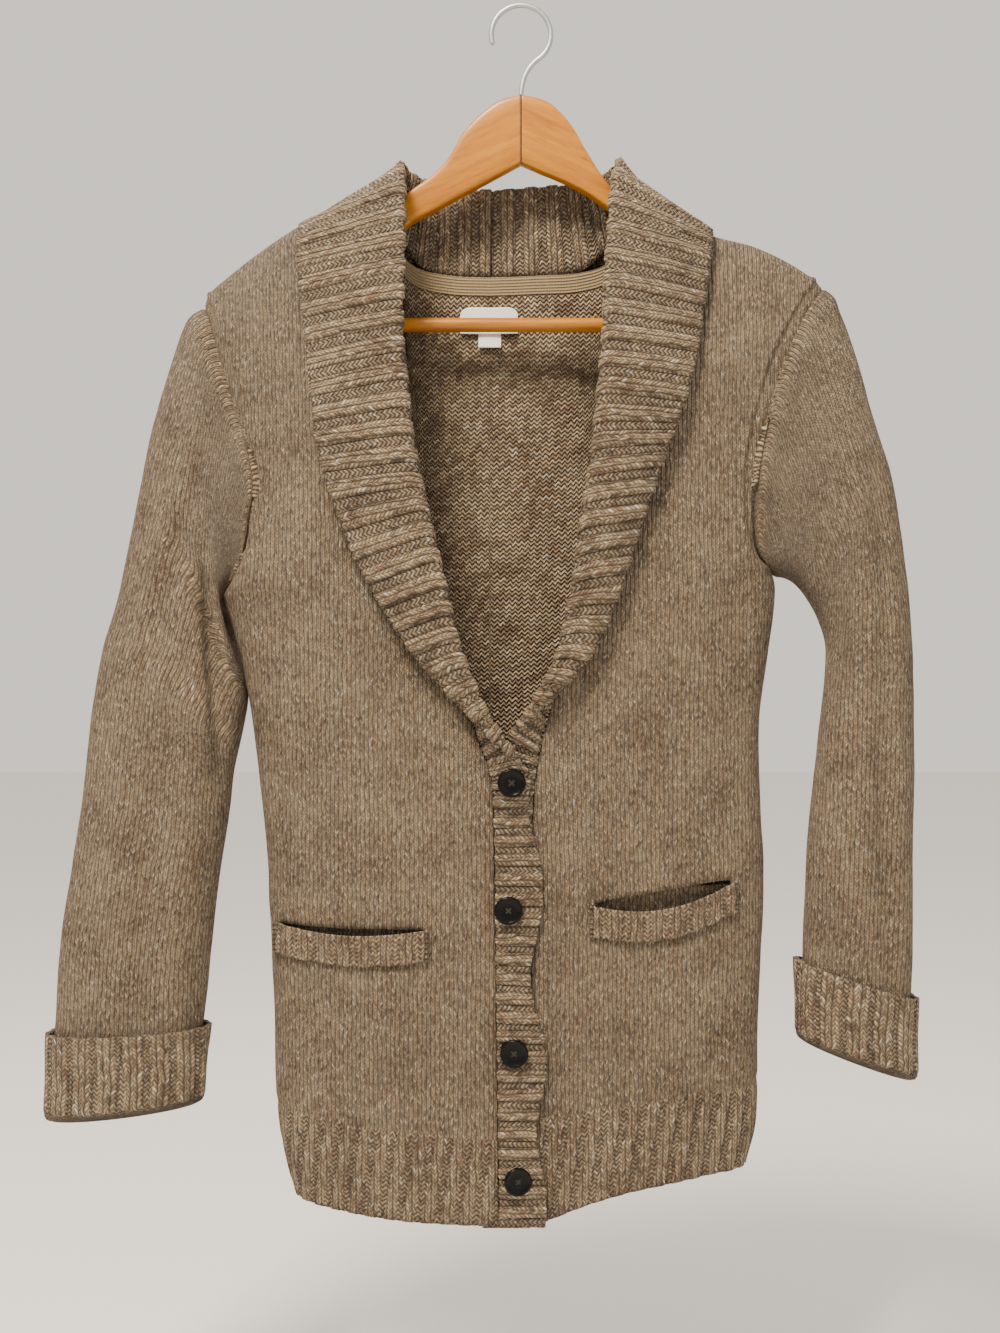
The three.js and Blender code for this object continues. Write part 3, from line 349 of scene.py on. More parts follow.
class Shader:
    """A material under construction, with one way of adding a node."""

    def __init__(self, name: str, roughness: float, **uniform: float) -> None:
        """Start a material from a Principled shader with uniform socket values."""
        self.material = bpy.data.materials.new(name)
        self.material.use_nodes = True
        self.tree = self.material.node_tree
        self.surface = self.tree.nodes["Principled BSDF"]
        self.surface.inputs["Roughness"].default_value = roughness
        for socket, value in uniform.items():
            self.surface.inputs[socket.replace("_", " ")].default_value = value

    def add(self, kind: str, inputs: Optional[dict] = None, **settings: object) -> bpy.types.Node:
        """Add a node with its settings, and set or link its inputs.

        Args:
            kind: the node's type, without the ShaderNode prefix.
            inputs: socket names or numbers with a value or an output socket each.
            settings: the node's own properties.

        Returns:
            The new node.
        """
        node = self.tree.nodes.new("ShaderNode" + kind)
        for name, value in settings.items():
            setattr(node, name, value)
        for name, value in (inputs or {}).items():
            if isinstance(value, bpy.types.NodeSocket):
                self.tree.links.new(value, node.inputs[name])
            else:
                node.inputs[name].default_value = value
        return node

    def math(self, operation: str, a: object, b: object = 0.0, clamp: bool = False) -> bpy.types.NodeSocket:
        """Work out one number from two."""
        return self.add("Math", {0: a, 1: b}, operation=operation, use_clamp=clamp).outputs[0]

    def mix(self, share: object, first: object, second: object, blend: str = "MIX") -> bpy.types.NodeSocket:
        """Mix two colours."""
        node = self.add("Mix", {0: share, 6: first, 7: second}, data_type="RGBA", blend_type=blend)
        return node.outputs[2]

    def noise(self, vector: object, scale: float, detail: float = 2.0, rough: float = 0.5) -> bpy.types.NodeSocket:
        """A soft random field."""
        inputs = {"Vector": vector, "Scale": scale, "Detail": detail, "Roughness": rough}
        return self.add("TexNoise", inputs).outputs["Fac"]

    def steps(self, share: object, low: float, high: float) -> bpy.types.NodeSocket:
        """Stretch a share so that low is 0 and high is 1."""
        inputs = {"Value": share, "From Min": low, "From Max": high}
        return self.add("MapRange", inputs).outputs["Result"]

    def bump(self, height: object, distance: float, strength: float = 1.0, after: object = None) -> bpy.types.NodeSocket:
        """A bump of a real height in metres."""
        inputs = {"Height": height, "Distance": distance, "Strength": strength}
        if after is not None:
            inputs["Normal"] = after
        return self.add("Bump", inputs).outputs["Normal"]

    def finish(self, colour: object, normal: object = None, roughness: object = None) -> bpy.types.Material:
        """Link the pattern to the shader and return the material."""
        for socket, value in (("Base Color", colour), ("Normal", normal), ("Roughness", roughness)):
            if isinstance(value, bpy.types.NodeSocket):
                self.tree.links.new(value, self.surface.inputs[socket])
            elif value is not None:
                self.surface.inputs[socket].default_value = value
        return self.material


class Knit(Enum):
    """Which face of the knitting shows."""

    PLAIN = "plain"
    PURL = "purl"
    RIB = "rib"


@dataclass(frozen=True)
class WoolFinish:
    """Heathered lambswool, knitted from a soft spun single yarn.

    The eye sees small V stitches, a mottled oatmeal ground with cream, brown and rust flecks, a
    matt nap that catches light at its edges, and painted shade between stitches and in rib grooves.
    """

    name: str
    knit: Knit
    ground: str = "#977c5e"
    shade: str = "#5a412b"
    light: str = "#d2bc99"
    cream: str = "#e9dfcf"
    brown: str = "#43352a"
    rust: str = "#8a5233"
    wale: float = 3.0
    course: float = 2.3
    reverse: bool = False
    # gap: strength of the painted shade between stitches
    gap: float = 1.0
    flecks: float = 1.0
    purl_wale: float = 4.4
    purl_course: float = 3.2

    def heather(self, sh: Shader, place: object, cell: object) -> bpy.types.NodeSocket:
        """The yarn's colour: it changes from stitch to stitch, with cream, brown and rust flecks."""
        stitch = sh.add("TexWhiteNoise", {"Vector": cell}, noise_dimensions="3D")
        chance = sh.add("SeparateXYZ", {0: stitch.outputs["Color"]}).outputs
        cloud = sh.noise(place, 30.0, 3.0)
        streak = sh.noise(place, 560.0, 3.0, 0.75)
        tone = sh.math("ADD", sh.math("MULTIPLY", stitch.outputs["Value"], 0.34), sh.math("MULTIPLY", streak, 0.66))
        tone = sh.math("ADD", tone, sh.math("MULTIPLY", sh.math("SUBTRACT", cloud, 0.5), 0.42))
        colour = sh.mix(sh.steps(tone, 0.26, 0.80), linear(self.shade), linear(self.light))
        colour = sh.mix(0.2, colour, linear(self.ground))
        for share, low, hue, strength in ((chance[0], 0.955, self.cream, 0.36), (chance[1], 0.93, self.brown, 0.6),
                                          (chance[2], 0.982, self.rust, 0.42)):
            spot = sh.math("MULTIPLY", sh.steps(share, low, low + 0.01), strength * self.flecks)
            colour = sh.mix(spot, colour, linear(hue))
        return colour

    def knit_face(self, sh: Shader, across: object, along: object) -> tuple:
        """Upright columns of V stitches: the yarn's height, and a number for each leg."""
        wale = sh.math("DIVIDE", across, self.wale * MM)
        off = sh.math("ABSOLUTE", sh.math("SUBTRACT", sh.math("FRACT", wale), 0.5))
        rise = sh.math("DIVIDE", along, self.course * MM)
        y = sh.math("SUBTRACT", rise, sh.math("MULTIPLY", off, 1.9))
        leg = sh.math("ABSOLUTE", sh.math("SUBTRACT", sh.math("FRACT", y), 0.5))
        crown = sh.math("SUBTRACT", 1.0, sh.math("POWER", sh.math("MULTIPLY", leg, 2.0), 2.6))
        column = sh.math("SUBTRACT", 1.0, sh.math("POWER", sh.math("MULTIPLY", off, 2.0), 3.2))
        parting = sh.math("MULTIPLY", sh.math("SUBTRACT", 1.0, sh.steps(off, 0.0, 0.13)), 0.42)
        column = sh.math("SUBTRACT", column, parting, True)
        height = sh.math("MULTIPLY", sh.math("ADD", sh.math("MULTIPLY", crown, 0.72), 0.28), column)
        legs = sh.math("FLOOR", sh.math("MULTIPLY", wale, 2.0))
        return height, sh.add("CombineXYZ", {0: legs, 1: sh.math("FLOOR", y)}).outputs[0]

    def purl_face(self, sh: Shader, across: object, along: object) -> tuple:
        """Level rows of small waves: the yarn's height, and a number for each loop."""
        wale = sh.math("DIVIDE", across, self.purl_wale * MM)
        swing = sh.math("MULTIPLY", sh.math("SINE", sh.math("MULTIPLY", wale, math.tau)), 0.30)
        y = sh.math("ADD", sh.math("DIVIDE", along, self.purl_course * MM), swing)
        row = sh.math("ABSOLUTE", sh.math("SUBTRACT", sh.math("FRACT", y), 0.5))
        height = sh.math("SUBTRACT", 1.0, sh.math("POWER", sh.math("MULTIPLY", row, 2.0), 1.7))
        return height, sh.add("CombineXYZ", {0: sh.math("FLOOR", wale), 1: sh.math("FLOOR", y)}).outputs[0]

    def make(self) -> bpy.types.Material:
        """Build the material."""
        sh = Shader(self.name, 0.93, Sheen_Weight=0.1, Sheen_Roughness=0.6, Specular_IOR_Level=0.2)
        coordinates = sh.add("TexCoord")
        place = coordinates.outputs["Object"]
        uneven = sh.add("TexNoise", {"Vector": place, "Scale": 95.0, "Detail": 1.0})
        wander = sh.add("VectorMath", {0: uneven.outputs["Color"], 1: (0.5, 0.5, 0.5)}, operation="SUBTRACT")
        drift = sh.add("VectorMath", {0: wander.outputs[0], "Scale": 0.0022}, operation="SCALE")
        moved = sh.add("VectorMath", {0: coordinates.outputs["UV"], 1: drift.outputs[0]}, operation="ADD")
        split = sh.add("SeparateXYZ", {0: moved.outputs[0]})
        across, along = split.outputs[0], split.outputs[1]
        face = self.purl_face if self.knit is Knit.PURL else self.knit_face
        yarn, cell = face(sh, across, along)
        if self.knit is Knit.RIB:
            rib = sh.add("Attribute", attribute_name="rib").outputs["Fac"]
            raised = sh.math("SUBTRACT", 1.0, rib) if self.reverse else rib
            purled, _ = self.purl_face(sh, across, along)
            knitted = sh.steps(raised, 0.56, 0.78)
            yarn = sh.math("ADD", sh.math("MULTIPLY", yarn, knitted),
                           sh.math("MULTIPLY", purled, sh.math("SUBTRACT", 1.0, knitted)))
        colour = self.heather(sh, place, cell)
        # Painted shade: where the yarn is low, between stitches, the colour is darkened towards a near-black brown.
        gap = sh.math("MULTIPLY", sh.math("SUBTRACT", 1.0, yarn), self.gap)
        colour = sh.mix(gap, colour, sh.mix(0.85, colour, linear("#150c06")))
        fuzz = sh.noise(place, 1500.0, 2.0, 0.7)
        height = sh.math("ADD", yarn, sh.math("MULTIPLY", fuzz, 0.35))
        if self.knit is Knit.RIB:
            # Painted shade: the purl grooves between the ribs are darkened.
            painted_groove_shade = sh.math("MULTIPLY", sh.steps(sh.math("SUBTRACT", 1.0, raised), 0.26, 0.95), 0.8)
            colour = sh.mix(painted_groove_shade, colour, sh.mix(0.8, colour, linear("#2a1c11")))
        return sh.finish(colour, sh.bump(height, 0.0028, 1.0))


@dataclass(frozen=True)
class TapeFinish:
    """Ribbed cotton tape in khaki: fine raised rows along its length and a dull face."""

    name: str = "ribbed_khaki_cotton"
    colour: str = "#8f7c5c"
    row: float = 2.2

    def make(self) -> bpy.types.Material:
        """Build the material."""
        sh = Shader(self.name, 0.85, Sheen_Weight=0.1)
        uv = sh.add("TexCoord").outputs["UV"]
        split = sh.add("SeparateXYZ", {0: uv})
        place = sh.add("TexCoord").outputs["Object"]
        rows = sh.math("SINE", sh.math("MULTIPLY", split.outputs[1], math.tau / (self.row * MM)))
        weave = sh.math("SINE", sh.math("MULTIPLY", split.outputs[0], math.tau / (1.1 * MM)))
        height = sh.math("ADD", rows, sh.math("MULTIPLY", weave, 0.35))
        shade = sh.steps(height, -1.2, 1.2)
        mottle = sh.noise(place, 500.0, 2.0)
        colour = sh.mix(shade, linear("#5f5039"), linear(self.colour))
        colour = sh.mix(sh.math("MULTIPLY", mottle, 0.3), colour, linear("#a8946f"))
        return sh.finish(colour, sh.bump(height, 0.0005, 0.8))


@dataclass(frozen=True)
class LabelFinish:
    """White woven polyester satin: smooth, with a faint weave and a soft shine."""

    name: str = "white_woven_satin"
    colour: str = "#e4e2df"

    def make(self) -> bpy.types.Material:
        """Build the material."""
        sh = Shader(self.name, 0.5, Sheen_Weight=0.1)
        uv = sh.add("TexCoord").outputs["UV"]
        weave = sh.add("TexWave", {"Vector": uv, "Scale": 700.0, "Distortion": 0.4}, bands_direction="Y")
        soft = sh.noise(uv, 90.0, 2.0)
        colour = sh.mix(sh.math("MULTIPLY", soft, 0.25), linear(self.colour), linear("#c9c4bd"))
        return sh.finish(colour, sh.bump(weave.outputs["Fac"], 0.0001, 0.6))


@dataclass(frozen=True)
class WoodFinish:
    """Steam-bent beech under clear lacquer: honey ground, fine long grain, short dark rays."""

    name: str
    slope: float = 0.0
    pale: str = "#bd7b0c"
    deep: str = "#935404"
    ray: str = "#5a2f04"
    joint: bool = False

    def make(self) -> bpy.types.Material:
        """Build the material. The grain runs along X, turned by the slope about Y."""
        sh = Shader(self.name, 0.42, Coat_Weight=0.22, Coat_Roughness=0.2, Specular_IOR_Level=0.3)
        place = sh.add("TexCoord").outputs["Object"]
        turned = sh.add("Mapping", {"Vector": place, "Rotation": (0.0, self.slope, 0.0)}).outputs[0]
        long = sh.add("Mapping", {"Vector": turned, "Scale": (14.0, 160.0, 160.0)}).outputs[0]
        bands = sh.noise(long, 1.0, 4.0, 0.6)
        broad = sh.noise(sh.add("Mapping", {"Vector": turned, "Scale": (6.0, 40.0, 40.0)}).outputs[0], 1.0, 2.0)
        fine = sh.noise(sh.add("Mapping", {"Vector": turned, "Scale": (90.0, 1500.0, 1500.0)}).outputs[0], 1.0, 2.0)
        colour = sh.mix(sh.steps(bands, 0.35, 0.68), linear(self.pale), linear(self.deep))
        colour = sh.mix(sh.math("MULTIPLY", broad, 0.5), colour, linear("#aa6a08"))
        rays = sh.math("MULTIPLY", sh.steps(fine, 0.62, 0.72), 0.55)
        colour = sh.mix(rays, colour, linear(self.ray))
        if self.joint:
            across = sh.math("ABSOLUTE", sh.add("SeparateXYZ", {0: place}).outputs[0])
            shut = sh.math("SUBTRACT", 1.0, sh.steps(across, 0.0003, 0.0009))
            colour = sh.mix(sh.math("MULTIPLY", shut, 0.9), colour, linear("#2b1704"))
        return sh.finish(colour, sh.bump(fine, 0.00008, 0.5))


@dataclass(frozen=True)
class SteelFinish:
    """Bright nickel-plated steel wire, drawn: smooth with faint lengthwise haze."""

    name: str = "nickel_plated_wire"

    def make(self) -> bpy.types.Material:
        """Build the material."""
        sh = Shader(self.name, 0.22, Metallic=1.0)
        place = sh.add("TexCoord").outputs["Object"]
        haze = sh.noise(place, 900.0, 2.0)
        rough = sh.steps(haze, -1.2, 2.6)
        colour = sh.mix(haze, linear("#9fa3a8"), linear("#c6c9cc"))
        return sh.finish(colour, sh.bump(haze, 0.00003, 0.4), rough)


@dataclass(frozen=True)
class ButtonFinish:
    """Polished black polyester: deep, glossy, with faint turning marks."""

    name: str = "polished_black_polyester"

    def make(self) -> bpy.types.Material:
        """Build the material."""
        sh = Shader(self.name, 0.22, Coat_Weight=0.0, Specular_IOR_Level=0.16)
        place = sh.add("TexCoord").outputs["Object"]
        dust = sh.noise(place, 700.0, 2.0)
        colour = sh.mix(dust, linear("#020203"), linear("#060607"))
        return sh.finish(colour, sh.bump(dust, 0.00004, 0.4), sh.steps(dust, -0.6, 3.4))


@dataclass(frozen=True)
class ThreadFinish:
    """Black sewing cotton: matt, finely twisted."""

    name: str = "black_sewing_thread"

    def make(self) -> bpy.types.Material:
        """Build the material."""
        sh = Shader(self.name, 0.8)
        place = sh.add("TexCoord").outputs["Object"]
        twist = sh.add("TexWave", {"Vector": place, "Scale": 900.0}, bands_direction="DIAGONAL").outputs["Fac"]
        # Painted shade and highlight: the twist is darker in its grooves and lighter on its ridges.
        return sh.finish(sh.mix(twist, linear("#0c0b0b"), linear("#2a2726")), sh.bump(twist, 0.0001))


@dataclass(frozen=True)
class PaintFinish:
    """Matt off-white studio paint."""

    name: str = "studio_paint"

    def make(self) -> bpy.types.Material:
        """Build the material."""
        sh = Shader(self.name, 0.9)
        grain = sh.noise(sh.add("TexCoord").outputs["Object"], 120.0, 2.0)
        return sh.finish(sh.mix(grain, linear("#f2eee8"), linear("#f6f2ed")), sh.bump(grain, 0.0004, 0.3))


# ------------------------------------------------------------------ meshes
@dataclass
class Relief:
    """What stands out of a smooth cloth: heights along its normal, its ribs and where they are."""

    height: Array
    rib: Array
    ribbed: Array


@dataclass
class Cloth:
    """A grid laid on a form, given its relief and its wall, with the flat size it was cut to.

    Fields are the grid's shares across and down, the form, the wall and its offset, what stands
    out, which faces are left out, and whether the last column joins the first. Facing is the way
    that the outer face looks at a place of the grid, or nothing for a tube.
    """

    name: str
    columns: Array
    rows: Array
    form: Form
    wall: float = WALL
    offset: float = -1.0
    relief: Optional[Callable[[Array, Array, Array, Array, Array], Relief]] = None
    along: Optional[Array] = None
    left_out: Optional[Callable[[Array], Array]] = None
    tube: bool = False
    anchor_bottom: bool = True
    facing: Optional[tuple[float, float, float]] = None
    facing_at: tuple[float, float] = (0.5, 0.5)
    size: tuple[float, float] = field(default=(0.0, 0.0), init=False)
    area: float = field(default=0.0, init=False)

    def build(self, *materials: bpy.types.Material) -> bpy.types.Object:
        """Build the object.

        Args:
            materials: outer and inner finish of the plain cloth, then of the ribbed cloth.

        Returns:
            The cloth, with its wall as a live Solidify modifier.
        """
        a, w = np.meshgrid(self.columns, self.rows)
        points = self.form(a, w)
        u, v = self.measure(points)
        ribbed = np.zeros(a.shape, bool)
        rib = np.ones(a.shape)
        if self.relief is not None:
            relief = self.relief(u, v, a, w, points)
            points = points + self.normals(points) * relief.height[..., None]
            rib, ribbed = relief.rib, relief.ribbed
        bm = bmesh.new()
        across, down = len(self.columns) - 1, len(self.rows) - 1
        bmesh.ops.create_grid(bm, x_segments=across, y_segments=down, size=0.5)
        uv_layer = bm.loops.layers.uv.new("UVMap")
        rib_layer = bm.verts.layers.float.new("rib")
        j = {vert: round((vert.co.x + 0.5) * across) for vert in bm.verts}
        i = {vert: round((0.5 - vert.co.y) * down) for vert in bm.verts}
        out = self.left_out(points) if self.left_out is not None else np.zeros(a.shape, bool)
        gone = []
        for face in bm.faces:
            places = [(i[vert], j[vert]) for vert in face.verts]
            for loop, place in zip(face.loops, places):
                loop[uv_layer].uv = (u[place] * MM, v[place] * MM)
            face.smooth = True
            if sum(ribbed[place] for place in places) > 2 and len(materials) > 2:
                face.material_index = 2
            if all(out[place] for place in places):
                gone.append(face)
        for vert in bm.verts:
            place = (i[vert], j[vert])
            vert[rib_layer] = rib[place]
            vert.co = points[place] * MM
        bm.normal_update()
        if self.inside_out(bm, points):
            bmesh.ops.reverse_faces(bm, faces=bm.faces)
        bmesh.ops.delete(bm, geom=gone, context="FACES")
        if self.tube:
            bmesh.ops.remove_doubles(bm, verts=bm.verts, dist=1e-6)
        return self.wrap(bm, materials)

    def inside_out(self, bm: bmesh.types.BMesh, points: Array) -> bool:
        """Whether the faces look the wrong way."""
        if self.facing is None:
            middle = points.reshape(-1, 3).mean(axis=0) * MM
            total = sum(f.normal.x * (f.calc_center_median().x - middle[0]) for f in bm.faces)
            total += sum(f.normal.y * (f.calc_center_median().y - middle[1]) for f in bm.faces)
            return total < 0
        i = int(self.facing_at[1] * (points.shape[0] - 1))
        j = int(self.facing_at[0] * (points.shape[1] - 1))
        at = points[i, j] * MM
        near = min(bm.faces, key=lambda f: float(((np.array(f.calc_center_median()) - at) ** 2).sum()))
        return float(np.dot(near.normal, self.facing)) < 0

    def normals(self, points: Array) -> Array:
        """Unit normals of the form, on the side that faces out."""
        across = np.gradient(points, axis=1)
        down = np.gradient(points, axis=0)
        if self.tube:
            across[:, 0] = across[:, -1] = points[:, 1] - points[:, -2]
        normal = np.cross(across, down)
        normal /= np.maximum(np.linalg.norm(normal, axis=2, keepdims=True), 1e-9)
        if self.facing is None:
            middle = points.mean(axis=1, keepdims=True)
            return normal * np.sign(((points - middle) * normal).sum())
        i = int(self.facing_at[1] * (points.shape[0] - 1))
        j = int(self.facing_at[0] * (points.shape[1] - 1))
        return normal * np.sign(np.dot(normal[i, j], self.facing))

    def measure(self, points: Array) -> tuple[Array, Array]:
        """Lay the cloth out flat: real lengths across and down, in millimetres.

        Args:
            points: the form's points.

        Returns:
            Lengths across, with the middle column's wales upright, and lengths down.
        """
        wide = np.linalg.norm(np.diff(points, axis=1), axis=2)
        tall = np.linalg.norm(np.diff(points, axis=0), axis=2)
        u = np.concatenate([np.zeros((len(points), 1)), np.cumsum(wide, axis=1)], axis=1)
        v = np.concatenate([np.zeros((1, points.shape[1])), np.cumsum(tall, axis=0)], axis=0)
        self.size = (float(u[:, -1].max()), float(v[-1].max()))
        rows = 0.5 * (wide[:-1] + wide[1:])
        self.area = float((rows * 0.5 * (tall[:, :-1] + tall[:, 1:])).sum())
        if self.along is not None:
            return np.broadcast_to(self.along, u.shape), -v
        if self.tube:
            return self.lay_square(points, v)
        middle = points.shape[1] // 2
        u = u - u[:, middle : middle + 1] + np.abs(points[:, middle, 0])[:, None]
        return u, v[-1:] - v if self.anchor_bottom else -v

    def lay_square(self, points: Array, v: Array) -> tuple[Array, Array]:
        """Lay out a skewed grid so that its courses cross its wales at right angles."""
        middle = points.shape[1] // 2
        down = np.gradient(points, axis=0)
        down /= np.maximum(np.linalg.norm(down, axis=2, keepdims=True), 1e-9)
        step = np.diff(points, axis=1)
        lean = (step * 0.5 * (down[:, 1:] + down[:, :-1])).sum(axis=2)
        wide = np.sqrt(np.maximum((step**2).sum(axis=2) - lean**2, 1e-9))
        zero = np.zeros((len(points), 1))
        u = np.concatenate([zero, np.cumsum(wide, axis=1)], axis=1)
        drop = np.concatenate([zero, np.cumsum(lean, axis=1)], axis=1)
        v = v[:, middle : middle + 1] + drop - drop[:, middle : middle + 1]
        return u - u[:, middle : middle + 1], -v

    def wrap(self, bm: bmesh.types.BMesh, materials: Sequence[bpy.types.Material]) -> bpy.types.Object:
        """Turn the mesh to an object with its wall."""
        obj = place_mesh(self.name, bm, materials)
        solid = obj.modifiers.new("wall", "SOLIDIFY")
        solid.thickness = self.wall * MM
        solid.offset = self.offset
        solid.material_offset = 1 if len(materials) > 1 else 0
        return obj

    def declare(self, obj: bpy.types.Object, nodes: Sequence[str]) -> None:
        """Ride the cloth on the body and hide the model's parts that it stands for."""
        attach(obj, ROOT)
        if nodes:
            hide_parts(*nodes)


def place_mesh(name: str, bm: bmesh.types.BMesh, materials: Sequence[bpy.types.Material]) -> bpy.types.Object:
    """Make an object at the origin from a bmesh, which is freed."""
    mesh = bpy.data.meshes.new(name)
    bm.to_mesh(mesh)
    bm.free()
    obj = bpy.data.objects.new(name, mesh)
    bpy.context.scene.collection.objects.link(obj)
    for material in materials:
        mesh.materials.append(material)
    return obj


def rod(name: str, stations: int, around: int, form: Form, material: bpy.types.Material) -> bpy.types.Object:
    """A closed solid from rings of points, filled at both ends.

    Args:
        name: the object's name.
        stations: rings along it.
        around: points round a ring.
        form: the place of a share along and a share round, in millimetres.
        material: its finish.

    Returns:
        The object, riding on the body.
    """
    bm = bmesh.new()
    bmesh.ops.create_grid(bm, x_segments=stations, y_segments=around, size=0.5)
    flat = np.array([vert.co[:2] for vert in bm.verts]) + 0.5
    points = form(flat[:, 0], flat[:, 1])
    for vert, point in zip(bm.verts, points):
        vert.co = point * MM
    bmesh.ops.remove_doubles(bm, verts=bm.verts, dist=1e-6)
    bmesh.ops.holes_fill(bm, edges=bm.edges, sides=0)
    bmesh.ops.recalc_face_normals(bm, faces=bm.faces)
    for face in bm.faces:
        face.smooth = len(face.verts) == 4
    obj = place_mesh(name, bm, [material])
    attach(obj, ROOT)
    LOG.info("%s: %d faces", name, len(obj.data.polygons))
    return obj


# ------------------------------------------------------------------ fronts and back
def place_on_front(s: Side, x: Array, z: Array) -> tuple[Array, Array]:
    """Find the shares of a front that are seen at x and z."""
    a, v = np.full(x.shape, 0.5), np.full(x.shape, 0.6)
    h = 1e-4
    for _ in range(14):
        here = front_point(s, a, v)
        da = (front_point(s, a + h, v) - here) / h
        dv = (front_point(s, a, v + h) - here) / h
        ex, ez = x - here[..., 0], z - here[..., 2]
        det = da[..., 0] * dv[..., 2] - dv[..., 0] * da[..., 2]
        a = np.clip(a + np.clip((ex * dv[..., 2] - dv[..., 0] * ez) / det, -0.3, 0.3), 0.0, 0.97)
        v = np.clip(v + np.clip((da[..., 0] * ez - ex * da[..., 2]) / det, -0.3, 0.3), 0.001, 0.998)
    return a, v


@dataclass(frozen=True)
class Pocket:
    """A welt pocket: the welt's ends, top edge, height, sag and slope, and its mouth's gape."""

    start: float
    end: float
    top: float
    height: float
    sag: float
    mouth: float
    lean: float

    def welt_top(self, x: Array) -> Array:
        """Height of the welt's top edge at x."""
        t = np.clip((x - self.start) / (self.end - self.start), 0, 1)
        return self.top + self.lean * (x - self.start) - self.sag * np.sin(math.pi * t)

    def upper_lip(self, x: Array) -> Array:
        """Height of the mouth's upper edge at x."""
        t = np.clip((x - self.start) / (self.end - self.start), 0, 1)
        return self.welt_top(x) - 1.0 + self.mouth * np.sin(math.pi * t) ** 0.7


POCKETS = {
    "right": Pocket(start=-63, end=-168, top=-638, height=21, sag=5, mouth=5, lean=-0.02),
    "left": Pocket(start=46, end=146, top=-622, height=21, sag=10, mouth=13, lean=0.15),
}


@dataclass(frozen=True)
class RibbedHem:
    """The ribbed welt at the foot of the body."""

    tops: Track
    period: float = 13.0
    lean: float = 0.18
    height: float = 1.5

    def relief(self, u: Array, points: Array) -> tuple[Array, Array, Array]:
        """Height, rib and zone of the hem at flat places u and at points."""
        top = self.tops.read("z", points[..., 0])
        below = top - points[..., 2]
        inside = ease((below + 2.0) / 8.0)
        rib = rib_profile((u + self.lean * points[..., 2]) / self.period, 0.62)
        height = inside * (self.height * (rib - 0.7) - 0.6) - 0.9 * bell(below / 3.0)
        return height, lerp(1.0, rib, inside), below > 0


